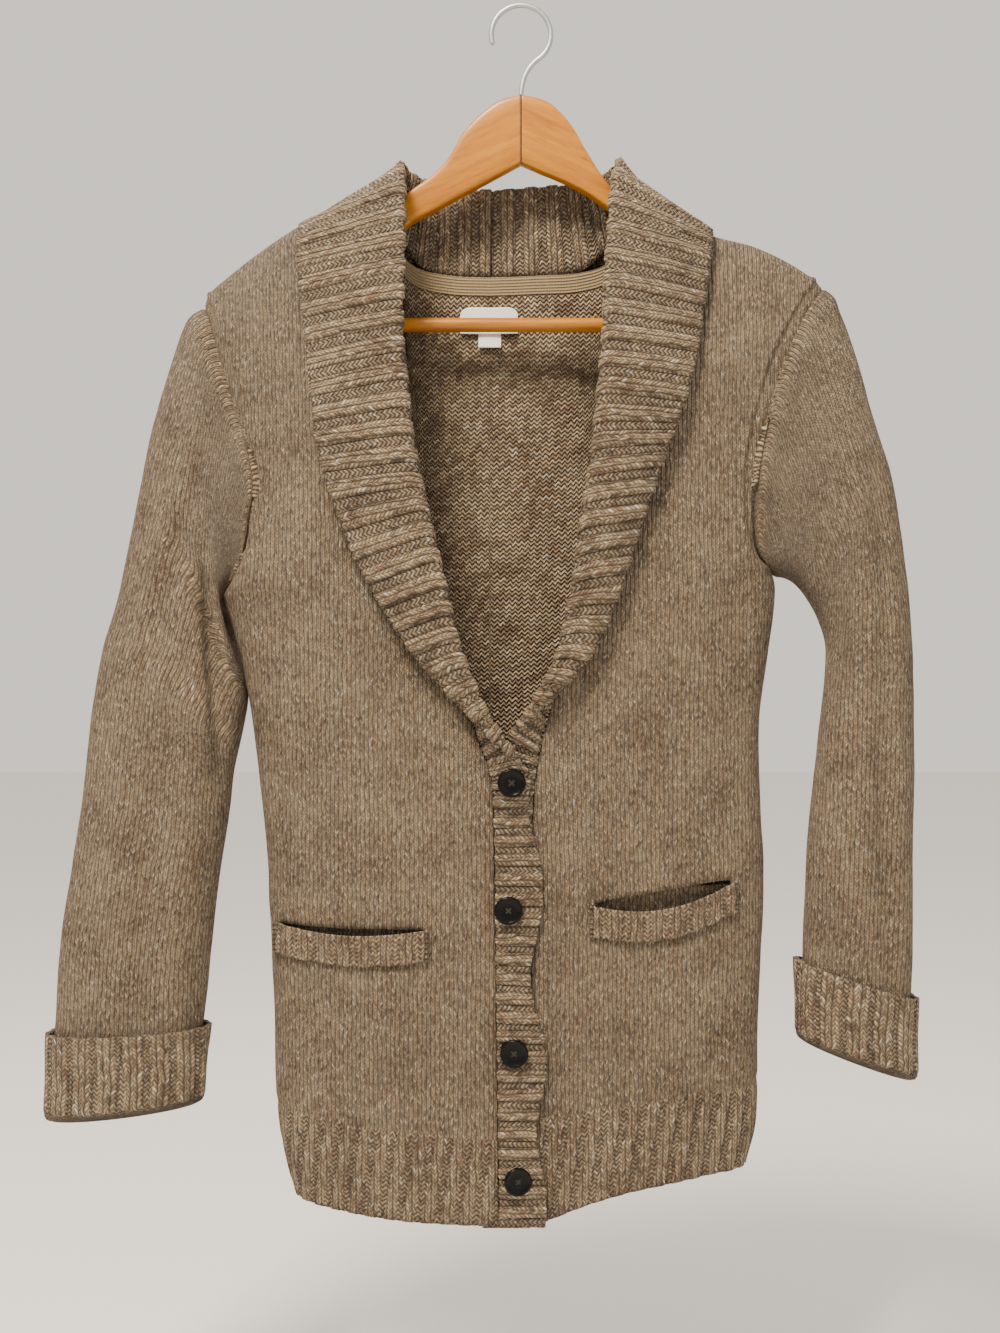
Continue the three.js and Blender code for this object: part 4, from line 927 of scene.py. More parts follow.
@dataclass
class Front:
    """One front of the body, from the shoulder to the ribbed hem, with its pocket."""

    side: Side
    pocket: Pocket
    hem: RibbedHem
    across: int = 150
    down: int = 215
    mouth_row: int = 158
    welt_lift: float = 0.9
    bag_wall: float = 1.5
    line_inside: float = 12.0

    def rows(self) -> Array:
        """Rows, closer together over the ridge of the shoulder."""
        return np.concatenate([np.linspace(0, 0.035, 22)[:-1], np.linspace(0.035, 1, self.down - 20)])

    def form(self, a: Array, v: Array) -> Array:
        """The front's surface, with one row laid along the mouth's upper lip."""
        points = front_point(self.side, a, v)
        row = self.mouth_row
        shift = np.zeros(a.shape[1])
        for j in range(a.shape[1]):
            x, z = points[:, j, 0], points[:, j, 2]
            lip = self.pocket.upper_lip(np.interp(-(self.pocket.top), -z, x))
            shift[j] = np.interp(-float(lip), -z, v[:, j]) - v[row, j]
        near = bell((np.arange(a.shape[0]) - row) / 26.0)[:, None]
        return front_point(self.side, a, v + shift[None, :] * near)

    def gap(self, points: Array) -> Array:
        """The open mouth: below its upper lip, down to behind the welt's top edge."""
        p = self.pocket
        x, z = points[..., 0], points[..., 2]
        low, high = sorted((p.start, p.end))
        inside = (x > low + 2.5) & (x < high - 2.5)
        return inside & (z < p.upper_lip(x) + 0.3) & (z > p.welt_top(x) - 5.0)

    def relief(self, u: Array, v: Array, a: Array, w: Array, points: Array) -> Relief:
        """Hem ribs, the raised fashioning line inside the armhole, seams and soft unevenness."""
        s = self.side
        x, z = points[..., 0], points[..., 2]
        height, rib, ribbed = self.hem.relief(u, points)
        across = np.linalg.norm(np.diff(points, axis=1), axis=2)
        from_seam = np.flip(np.cumsum(np.flip(across, 1), axis=1), 1)
        from_seam = np.concatenate([from_seam, np.zeros((len(a), 1))], axis=1)
        at_arm = 1 - ease((w - 0.36) / 0.05)
        ridge = 1.5 * bell((from_seam - self.line_inside) / 2.2) - 0.8 * bell((from_seam - self.line_inside + 4) / 2)
        seam = -1.3 * bell(from_seam / 3.0) - 2.2 * (1 - ease(w / 0.12)) * bell(from_seam / 6.0)
        from_front = np.concatenate([np.zeros((len(a), 1)), np.cumsum(across, axis=1)], axis=1)
        band_seam = -1.6 * bell(from_front / 3.0) + 0.6 * bell((from_front - 6.5) / 3.0)
        away = ease(from_seam / 20) * ease(from_front / 12) * ease(w / 0.06)
        soft = away * (1.0 * ripple(x, z, 120.0, s.sign + 2) + 0.35 * ripple(x, z, 31.0, s.sign + 5))
        p = self.pocket
        t = np.clip((x - p.start) / (p.end - p.start), -0.15, 1.15)
        below = z - p.welt_top(x)
        tension = bell((t - 0.5) / 0.55) * (1.6 * bell((below - 14) / 12) + 1.2 * bell((below + 34) / 16))
        return Relief(height + at_arm * ridge + seam + band_seam + soft + tension, rib, ribbed)

    def build(self, wool: Sequence[bpy.types.Material], plain: bpy.types.Material, rib: Sequence) -> None:
        """Build the front, its welt and its bag."""
        s = self.side
        columns = np.linspace(0, 1, self.across + 1)
        panel = Cloth(f"{s.name}_front_panel", columns, self.rows(), self.form, relief=self.relief,
                      left_out=self.gap, facing=(0, -1, 0), facing_at=(0.4, 0.6))
        panel.declare(panel.build(*wool, *rib), [f"{s.name}_front"])
        self.build_welt(rib)
        self.build_bag(plain)

    def build_welt(self, rib: Sequence[bpy.types.Material]) -> None:
        """The ribbed strip below the mouth, standing a little off the front at its top."""
        s, p = self.side, self.pocket

        def form(a: Array, w: Array) -> Array:
            x = lerp(p.start, p.end, a)
            z = p.welt_top(x) - p.height * w
            place = place_on_front(s, x, z)
            gape = 1.7 * np.sin(math.pi * a) * (1 - ease(w / 0.7))
            crown = 0.8 * np.sin(math.pi * np.clip(w, 0, 1)) ** 0.5 * np.sin(math.pi * a) ** 0.3
            return front_point(s, *place, self.welt_lift + WALL + gape + crown - 0.6)

        def relief(u: Array, v: Array, a: Array, w: Array, points: Array) -> Relief:
            ribs = rib_profile(u / 14.5, 0.62)
            edge = np.minimum(a, 1 - a) * abs(p.end - p.start)
            inside = ease(edge / 3.0) * ease(w / 0.12)
            return Relief(0.9 * inside * (ribs - 0.7), lerp(1.0, ribs, 0.6 * inside), np.ones(a.shape, bool))

        welt = Cloth(f"{s.name}_welt", np.linspace(0, 1, 141), np.linspace(0, 1, 27), form, wall=2.6,
                     relief=relief, facing=(0, -1, 0))
        welt.declare(welt.build(*rib), [f"{s.name}_pocket_welt"])
        self.build_stitching()

    def build_stitching(self) -> None:
        """Small overcast stitches that hold the two ends of the welt."""
        s, p = self.side, self.pocket
        bm = bmesh.new()
        for end, turn in ((p.start, 1), (p.end, -1)):
            for n in range(6):
                x = end + turn * math.copysign(1.2, p.end - p.start)
                z = float(p.welt_top(np.array(x))) - 1.8 - 3.4 * n
                place = place_on_front(s, np.array([x]), np.array([z]))
                at = front_point(s, *place, self.welt_lift + 2.6)[0] * MM
                made = bmesh.ops.create_uvsphere(bm, u_segments=10, v_segments=6, radius=0.9 * MM)
                bmesh.ops.scale(bm, vec=(2.3, 0.8, 0.8), verts=made["verts"])
                bmesh.ops.translate(bm, vec=tuple(at), verts=made["verts"])
        for face in bm.faces:
            face.smooth = True
        obj = place_mesh(f"{s.name}_welt_stitches", bm, [STITCH.make()])
        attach(obj, ROOT)

    def build_bag(self, plain: bpy.types.Material) -> None:
        """The pocket's bag, behind the front."""
        s, p = self.side, self.pocket
        low, high = sorted((p.start, p.end))

        def form(a: Array, w: Array) -> Array:
            x = lerp(low - 4.0, high + 4.0, a)
            z = p.top + 12.0 - 92.0 * w
            place = place_on_front(s, x, z)
            return front_point(s, *place, -WALL - 0.5 - 2.6 * np.sin(math.pi * a) ** 0.7 * bell((w - 0.15) / 0.22))

        bag = Cloth(f"{s.name}_pocket_lining", np.linspace(0, 1, 61), np.linspace(0, 1, 61), form,
                    wall=self.bag_wall, facing=(0, -1, 0))
        bag.declare(bag.build(plain), [f"{s.name}_pocket_bag"])


@dataclass
class Back:
    """The back of the body, from one side seam to the other."""

    hem: RibbedHem
    half_columns: tuple[int, int, int] = (34, 22, 46)
    down: int = 190

    @staticmethod
    def neck_share(s: Side) -> float:
        """Share of the half width at which the neck ends."""
        return 2 / math.pi * math.asin((s.neck_point[0] - CENTRE_BACK) / (s.tip[0] - CENTRE_BACK))

    def half(self, s: Side) -> Array:
        """Column shares from the centre to a side seam, closer at the neck's corner."""
        n, corner, shoulder = self.half_columns
        share = self.neck_share(s)
        parts = [np.linspace(0, 0.86 * share, n)[:-1], np.linspace(0.86 * share, share, corner)[:-1]]
        return np.concatenate(parts + [np.linspace(share, 1, shoulder)])

    def form(self, a: Array, v: Array) -> Array:
        """The back's surface."""
        return back_point(a, v)

    def relief(self, u: Array, v: Array, a: Array, w: Array, points: Array) -> Relief:
        """Hem ribs, seams and soft unevenness."""
        height, rib, ribbed = self.hem.relief(u, points)
        across = np.linalg.norm(np.diff(points, axis=1), axis=2)
        left = np.concatenate([np.zeros((len(a), 1)), np.cumsum(across, axis=1)], axis=1)
        from_seam = np.minimum(left, left[:, -1:] - left)
        at_arm = 1 - ease((w - 0.36) / 0.05)
        ridge = at_arm * 1.3 * bell((from_seam - 12) / 2.4)
        away = ease(from_seam / 20) * ease((w - 0.055) / 0.07)
        x, z = points[..., 0], points[..., 2]
        soft = away * (1.1 * ripple(x, z, 130.0, 9.0) + 0.35 * ripple(x, z, 33.0, 4.0))
        seam = -1.3 * bell(from_seam / 3.0) - 2.2 * (1 - ease(w / 0.12)) * bell(from_seam / 6.0)
        return Relief(height + ridge + seam + soft, rib, ribbed)

    def build(self, wool: Sequence[bpy.types.Material], rib: Sequence[bpy.types.Material]) -> None:
        """Build the back."""
        columns = np.concatenate([-self.half(RIGHT)[::-1], self.half(LEFT)[1:]])
        rows = np.concatenate([np.linspace(0, 0.035, 20)[:-1], np.linspace(0.035, 1, self.down - 18)])
        panel = Cloth("back_panel", columns, rows, self.form, relief=self.relief, facing=(0, 1, 0),
                      facing_at=(0.5, 0.6))
        panel.declare(panel.build(*wool, *rib), ["back"])


# ------------------------------------------------------------------ sleeves
@dataclass
class Sleeve:
    """A sleeve with its turned-back ribbed cuff, knitted as one tube.

    The rings hold the outer and inner edges, the half depth and the middle's depth, from the
    armhole to the fold of the cuff.
    """

    side: Side
    rings: Sequence[Sequence[float]]
    folds: Sequence[Fold]
    cuff_rings: float = 0.98
    cuff_period: float = 17.2
    around: int = 136
    down: int = 176
    cuff_down: int = 40
    start: float = -0.06
    reach: float = 2.2
    flatness: float = 0.86
    stand: float = 4.3

    def __post_init__(self) -> None:
        """Put the armhole's own loop before the rings."""
        s = self.side
        first = (s.tip[0], s.tip[1], s.pit[0], s.pit[1], s.arm_depth, 0.0)
        rows = [(k, *ring) for k, ring in enumerate([first, *self.rings])]
        self.track = Track("k outer_x outer_z inner_x inner_z depth centre", rows)
        self.last = float(len(self.rings))

    def ring(self, k: Array, angle: Array) -> Array:
        """A point of the sleeve at ring k: angle 0 is its outer edge, half a turn its inner edge."""
        s, read = self.side, self.track.read
        share = (1 - np.cos(angle)) / 2
        z_loop = lerp(s.tip[1], s.pit[1], share)
        loop_x = s.outer_edge.read("x", z_loop)
        bowed = loop_x - lerp(s.tip[0], s.pit[0], share)
        keep = np.exp(-((np.maximum(k, 0) / self.reach) ** 2))
        own = read("depth", k) * np.abs(np.sin(angle)) ** self.flatness
        depth = lerp(own, s.armhole_depth(z_loop), keep)
        x = lerp(read("outer_x", k), read("inner_x", k), share) + bowed * keep
        y = read("centre", k) * (1 - keep) - np.sign(np.sin(angle)) * depth
        return np.stack([x, y, lerp(read("outer_z", k), read("inner_z", k), share)], axis=-1)

    def form(self, a: Array, k: Array) -> Array:
        """The tube, down to the cuff's fold and back up outside it."""
        angle = math.pi + math.tau * a
        turned = np.maximum(k - self.last, 0.0)
        down = np.minimum(k, self.last)
        back = np.where(turned > 0, self.last - np.maximum(turned - 0.05, 0) * self.cuff_rings / 0.95, down)
        points = self.ring(back, angle)
        centre = 0.5 * (self.ring(back, 0 * angle) + self.ring(back, 0 * angle + math.pi))
        off = points - centre
        off /= np.maximum(np.linalg.norm(off, axis=-1, keepdims=True), 1e-6)
        fold = np.clip(turned / 0.05, 0, 1)
        flare = 1.4 * ease((turned - 0.4) / 0.6)
        step = (0.5 * (1 - np.cos(math.pi * fold))) * (self.stand - WALL) + flare
        dip = -1.2 * np.sin(math.pi * fold)
        points = points + off * step[..., None]
        points[..., 2] += dip
        return points

    def relief(self, u: Array, v: Array, a: Array, k: Array, points: Array) -> Relief:
        """Creases of the hanging sleeve, the cuff's ribs and its free edge."""
        x, z = points[..., 0], points[..., 2]
        turned = np.maximum(k - self.last, 0.0)
        front = np.sin(math.pi + math.tau * a)
        face = np.where(front > 0, 1.0, 0.55)
        body = (turned <= 0) * ease(k / 1.2)
        crease = 1.35 * sum(fold.at(x, z) for fold in self.folds) * face * body
        soft = body * (1.3 * ripple(x, z, 90.0, 3 + self.side.sign) + 0.5 * ripple(x, z, 34.0, 8.0))
        rib = rib_profile(u / self.cuff_period, 0.66)
        in_cuff = ease((turned - 0.06) / 0.05)
        sewn = -1.0 * bell(k / 0.12) + 1.4 * bell((k - 0.5) / 0.34)
        height = crease + soft * np.abs(front) ** 0.3 - in_cuff * 1.7 * (rib - 0.5) + sewn
        under = (k > self.last - 0.9) & (turned <= 0)
        return Relief(height, lerp(1.0, 1 - rib, in_cuff), (turned > 0) | under)

    def build(self, wool: Sequence[bpy.types.Material], rib: Sequence[bpy.types.Material]) -> None:
        """Build the sleeve."""
        s = self.side
        rows = np.concatenate([np.linspace(self.start, self.last, self.down),
                               self.last + np.linspace(0, 0.05, 7)[1:],
                               self.last + np.linspace(0.05, 1, self.cuff_down)[1:]])
        tube = Cloth(f"{s.name}_sleeve_tube", np.linspace(0, 1, self.around + 1), rows, self.form,
                     relief=self.relief, tube=True, anchor_bottom=False)
        tube.declare(tube.build(*wool, *rib), [f"{s.name}_sleeve"])


# ------------------------------------------------------------------ collar and front bands
@dataclass
class ShawlCollar:
    """Half of the ribbed strip that is the shawl collar above and the front band below.

    Back rows hold neck x, roll and edge; front rows hold the seam's height, roll, edge x and z
    and the edge's lift over the front; the band's free edge is read by height.
    """

    side: Side
    back_rows: Sequence[Sequence[float]]
    front_rows: Sequence[Sequence[float]]
    band_edge: Track
    phase: float = 0.0
    lead: float = 34.0
    stations: int = 700
    columns: int = 30
    wall: float = 3.2
    collar_period: float = 18.0
    band_period: float = 13.4
    height: float = 2.1
    roll_radius: float = 11.0
    band_roll: float = 6.0
    belly: float = 2.4

    def sections(self) -> list[list[Array]]:
        """Seam, direction away from it, roll and edge of each listed section."""
        s = self.side
        rows = []
        for i, (x, roll_x, roll_y, roll_z, edge_x, edge_y, edge_z) in enumerate(self.back_rows):
            shift = s.sign * 0.15 if i == 0 else 0.0
            at = np.array(x + shift)
            y, z = float(s.neck.read("y", at)), float(s.neck.read("z", at))
            last = i == len(self.back_rows) - 1
            seam = np.array([x + shift, y - (0 if last else self.wall / 2), z - (self.wall / 2 if last else 0)])
            rise = z - float(s.neck.read("z", at - s.sign))
            size = math.hypot(1.0, rise)
            away = np.array([-s.sign * abs(rise) / size, 0.0, 1.0 / size])
            rows.append([seam, away, np.array([roll_x + shift, roll_y, roll_z]),
                         np.array([edge_x + shift, edge_y, edge_z])])
        for seam_z, roll_x, roll_y, roll_z, edge_x, edge_z, lift in self.front_rows:
            place = place_on_front(s, np.array([float(edge_x)]), np.array([float(edge_z)]))
            y = float(front_point(s, *place)[0, 1])
            seam, away = self.front_seam(seam_z)
            rows.append([seam, away, np.array([roll_x, roll_y, roll_z]), np.array([edge_x, y - lift, edge_z])])
        for z in np.linspace(self.front_rows[-1][0] - 14.0, s.hem_inner, 30):
            seam, _ = self.front_seam(z)
            edge = np.array([float(self.band_edge.read("x", np.array(z))), seam[1], z])
            roll = edge + (seam - edge) * self.band_roll / np.linalg.norm(seam - edge)
            rows.append([seam, np.array([-s.sign, 0.0, 0.0]), roll, edge])
        return rows

    def front_seam(self, z: float) -> tuple[Array, Array]:
        """Middle of the cloth at a front's edge, and the direction away from the front."""
        s = self.side
        v = s.row_of_front_height(np.array([float(z)]))
        zero = np.zeros(1)
        seam = front_point(s, zero, v, -WALL / 2)[0]
        away = front_point(s, zero, v)[0] - front_point(s, zero + 0.03, v)[0]
        return seam, away / np.linalg.norm(away)

    def prepare(self) -> None:
        """Spread the sections evenly along the roll and smooth them."""
        rows = self.sections()
        rolls = np.array([row[2] for row in rows])
        edges = np.array([row[3] for row in rows])
        line = 0.65 * rolls + 0.35 * edges
        length = np.concatenate([[0], np.cumsum(np.linalg.norm(np.diff(line, axis=0), axis=1))])
        self.length = float(length[-1])
        self.along = np.linspace(0, self.length, self.stations + 1)
        self.band_start = float(length[len(self.back_rows) + len(self.front_rows) - 1])
        spread = 7.0 / (self.length / self.stations)
        reach = int(3 * spread)
        weight = np.exp(-0.5 * (np.arange(-reach, reach + 1) / spread) ** 2)
        weight /= weight.sum()
        smooth = []
        for part in range(4):
            values = np.array([row[part] for row in rows])
            fine = np.stack([np.interp(self.along, length, values[:, n]) for n in range(3)], axis=-1)
            padded = np.pad(fine, ((reach, reach), (0, 0)), mode="reflect", reflect_type="odd")
            smooth.append(np.stack([np.convolve(padded[:, n], weight, "valid") for n in range(3)], axis=-1))
        self.seam, self.away, self.roll, edge = smooth
        top = float(length[len(self.back_rows) - 1])
        over = ease(self.along / 40.0) * (self.lead * bell((self.along - top) / 46.0)
                                          + 7.0 * ease((self.along - top) / 60.0))
        over = over * (1 - ease((self.along - self.band_start + 150.0) / 110.0))
        self.edge = np.stack([np.interp(self.along - over, self.along, edge[:, n]) for n in range(3)], axis=-1)
        narrow = ease((self.along - self.band_start + 60.0) / 80.0)
        step = self.length / self.stations / lerp(self.collar_period, self.band_period, narrow)
        self.turns = np.cumsum(step) + self.phase

    def form(self, a: Array, w: Array) -> Array:
        """The strip's middle surface: across it from the seam, over the roll, to the free edge."""
        i = np.rint(a * self.stations).astype(int)
        seam, away, roll, edge = (part[i] for part in (self.seam, self.away, self.roll, self.edge))
        norm = lambda vector: np.linalg.norm(vector, axis=-1, keepdims=True)
        to_roll, to_edge = roll - seam, edge - roll
        slant = norm(np.cross(away, to_roll / norm(to_roll)))
        start = seam + away * (0.4 + (0.5 * self.wall + 0.2) * slant)
        turn = np.minimum(self.roll_radius, np.minimum(0.45 * norm(to_roll), 0.45 * norm(to_edge)))
        before = roll - to_roll / norm(to_roll) * turn
        after = roll + to_edge / norm(to_edge) * turn
        first, bend, last = norm(before - start), 1.7 * turn, norm(edge - after)
        total = first + bend + last
        place = w[..., None] * total
        t = np.clip((place - first) / np.maximum(bend, 1e-6), 0, 1)
        curve = before * (1 - t) ** 2 + roll * 2 * t * (1 - t) + after * t**2
        rising = start + (before - start) * np.clip(place / np.maximum(first, 1e-6), 0, 1)
        fall = np.clip((place - first - bend) / np.maximum(last, 1e-6), 0, 1)
        falling = after + (edge - after) * fall
        out = np.where(place < first, rising, np.where(place < first + bend, curve, falling))
        folded = ease((self.band_start - a * self.length) / 40.0)[..., None]
        out[..., 1] -= (self.belly * np.sin(math.pi * fall) ** 0.8 * folded)[..., 0] * self.outward(i)
        return out

    def outward(self, i: Array) -> Array:
        """How much the fall faces the front at a station: 1 at the fronts, -1 at the back neck."""
        return np.clip((12.0 - self.roll[i][..., 1]) / 12.0, -1, 1)

    def relief(self, u: Array, v: Array, a: Array, w: Array, points: Array) -> Relief:
        """Ribs across the strip, the softly waving free edge and the sewn end at the seam."""
        at = a * self.length
        turns = np.interp(at, self.along, self.turns) + 0.1 * np.sin(at / 61.0 + self.side.sign) * w
        ribs = rib_profile(turns, 0.52)
        in_band = at > self.band_start - 8
        signed = np.where(in_band, 1 - ribs, ribs)
        free = np.minimum(ease(w / 0.07), ease((1 - w) / 0.05) * 0.5 + 0.5)
        wave = 1.2 * np.sin(at / 23.0) * w**3 + 0.8 * ripple(at, 60 * w, 70.0, 2.0 + self.side.sign)
        wave = np.where(in_band, 0.35 * wave, wave)
        return Relief(self.height * free * (signed - 0.5) + wave, signed, np.ones(a.shape, bool))

    def build(self, rib: Sequence[bpy.types.Material]) -> None:
        """Build the strip."""
        s = self.side
        self.prepare()
        strip = Cloth(f"{s.name}_shawl_strip", np.linspace(0, 1, self.stations + 1),
                      np.linspace(0, 1, self.columns + 1), self.form, wall=self.wall, offset=0.0,
                      relief=self.relief, along=self.along, facing=(0, -1, 0), facing_at=(0.4, 0.85))
        strip.declare(strip.build(*rib), [f"{s.name}_collar_band"])


# ------------------------------------------------------------------ neck tape and labels
@dataclass
class NeckTrim:
    """The tape over the back neck seam, the bare woven label and the bare size tab under it."""

    tape_height: float = 13.5
    tape_wall: float = 1.2
    label: tuple[float, float, float, float] = (-43.0, -2.0, 22.0, 41.0)
    tab: tuple[float, float, float, float] = (-30.0, -14.0, 40.0, 50.5)
    label_wall: float = 0.7

    @staticmethod
    def inside_back(x: Array, drop: Array, lift: Array) -> Array:
        """A point inside the back at x, a drop below the neck seam, moved by a lift."""
        top = np.where(x < CENTRE_BACK, RIGHT.neck.read("z", x), LEFT.neck.read("z", x))
        a, v = np.zeros(x.shape), np.full(x.shape, 0.03)
        for _ in range(40):
            here = back_point(a, v)
            a = np.clip(a + (x - here[..., 0]) / 300, -0.98, 0.98)
            v = np.clip(v + (here[..., 2] - (top - drop)) / 700, 0.0, 1.0)
        return back_point(a, v, -WALL - 0.7 + lift)

    def build(self, tape: bpy.types.Material, satin: bpy.types.Material) -> None:
        """Build the tape, label and tab."""

        def tape_form(a: Array, w: Array) -> Array:
            return self.inside_back(lerp(-84.0, 73.0, a), self.tape_height * w, 0.25 * np.sin(math.pi * w))

        strip = Cloth("neck_tape_ribbed", np.linspace(0, 1, 91), np.linspace(0, 1, 15), tape_form,
                      wall=self.tape_wall, facing=(0, -1, 0))
        strip.declare(strip.build(tape), ["neck_tape"])
        for name, node, (left, right, top, bottom), curl in (
            ("woven_label", "neck_label", self.label, 1.6), ("woven_size_tab", "size_tab", self.tab, 2.2)
        ):

            def form(a: Array, w: Array) -> Array:
                inset = np.clip(1 - np.minimum(a, 1 - a) * (right - left) / 8.0, 0, 1)
                corner = 6.0 * (1 - np.sqrt(1 - inset**2)) * (1 - w) * (name == "woven_label")
                lift = -0.3 - curl * w**2 - 0.5 * np.sin(math.pi * a)
                return self.inside_back(lerp(left, right, a), lerp(top, bottom, w) + corner, lift)

            piece = Cloth(name, 0.5 - 0.5 * np.cos(math.pi * np.linspace(0, 1, 61)), np.linspace(0, 1, 25), form, wall=self.label_wall,
                          facing=(0, -1, 0))
            piece.declare(piece.build(satin), [node])


# ------------------------------------------------------------------ buttons
@dataclass
class Button:
    """A four-hole dished button with a raised rim, sewn with a cross of thread."""

    name: str
    x: float
    z: float
    lift: float
    tilt: float = 0.0
    radius: float = 9.5
    thickness: float = 3.6
    rim: float = 1.7
    dish: float = 0.95
    hole_circle: float = 2.6
    hole: float = 0.85

    def build(self, gloss: bpy.types.Material, thread: bpy.types.Material) -> None:
        """Build the button and its thread."""
        r, h = self.radius, self.thickness
        bm = bmesh.new()
        outline = [(0.0, 0.0), (r - 1.4, 0.0), (r - 0.4, 0.5), (r, 1.4), (r, h - 1.1), (r - 0.35, h - 0.3),
                   (r - 1.0, h), (r - self.rim, h - 0.25), (r - self.rim - 0.8, h - self.dish),
                   (0.45 * r, h - self.dish - 0.25), (0.0, h - self.dish - 0.3)]
        verts = [bm.verts.new((radius * MM, 0, height * MM)) for radius, height in outline]
        edges = [bm.edges.new(pair) for pair in zip(verts, verts[1:])]
        bmesh.ops.spin(bm, geom=verts + edges, axis=(0, 0, 1), cent=(0, 0, 0), angle=math.tau, steps=72,
                       use_merge=True)
        bmesh.ops.remove_doubles(bm, verts=bm.verts, dist=1e-7)
        bmesh.ops.recalc_face_normals(bm, faces=bm.faces)
        disc = place_mesh(self.name + "_disc", bm, [gloss])
        bm = bmesh.new()
        for n in range(4):
            made = bmesh.ops.create_cone(bm, cap_ends=True, segments=20, radius1=self.hole * MM,
                                         radius2=self.hole * MM, depth=4 * h * MM)
            turn = math.pi / 4 + n * math.pi / 2
            place = (self.hole_circle * MM * math.cos(turn), self.hole_circle * MM * math.sin(turn), 0)
            bmesh.ops.translate(bm, vec=place, verts=made["verts"])
        cutter = place_mesh(self.name + "_cutter", bm, [gloss])
        drill = disc.modifiers.new("holes", "BOOLEAN")
        drill.object, drill.operation, drill.solver = cutter, "DIFFERENCE", "EXACT"
        drilled = bmesh.new()
        drilled.from_object(disc, bpy.context.evaluated_depsgraph_get())
        for old in (disc, cutter):
            bpy.data.objects.remove(old)
        for face in drilled.faces:
            face.smooth = True
        self.seat(drilled)
        obj = place_mesh(self.name, drilled, [gloss])
        smooth = obj.modifiers.new("edges", "EDGE_SPLIT")
        smooth.split_angle = math.radians(50)
        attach(obj, ROOT)
        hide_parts(self.name.replace("_face", ""))
        self.build_thread(thread)
        LOG.info("%s: %d faces", obj.name, len(obj.data.polygons))

    def seat(self, bm: bmesh.types.BMesh) -> None:
        """Turn a button made flat to face the front, and put it on the band."""
        row = RIGHT.row_of_front_height(np.array([self.z]))
        y = float(front_point(RIGHT, np.zeros(1), row)[0, 1])
        cos, sin = math.cos(self.tilt), math.sin(self.tilt)
        for vert in bm.verts:
            x, z, out = vert.co.x, vert.co.y, vert.co.z
            vert.co = (self.x * MM + cos * x + sin * out, (y - self.lift) * MM - cos * out + sin * x,
                       self.z * MM + z)
        bmesh.ops.recalc_face_normals(bm, faces=bm.faces)

    def build_thread(self, thread: bpy.types.Material) -> None:
        """Two crossing bars of thread between the holes."""
        bm = bmesh.new()
        top = self.thickness - self.dish - 0.1
        for turn in (math.pi / 4, 3 * math.pi / 4):
            for side in (-0.35, 0.35):
                made = bmesh.ops.create_uvsphere(bm, u_segments=16, v_segments=8, radius=0.42 * MM)
                bmesh.ops.scale(bm, vec=(self.hole_circle / 0.36, 1, 1), verts=made["verts"])
                bmesh.ops.translate(bm, vec=(0, side * MM, top * MM), verts=made["verts"])
                cos, sin = math.cos(turn), math.sin(turn)
                for vert in made["verts"]:
                    x, y = vert.co.x, vert.co.y
                    vert.co.x, vert.co.y = cos * x - sin * y, sin * x + cos * y
        for face in bm.faces:
            face.smooth = True
        self.seat(bm)
        obj = place_mesh(self.name + "_thread", bm, [thread])
        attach(obj, ROOT)


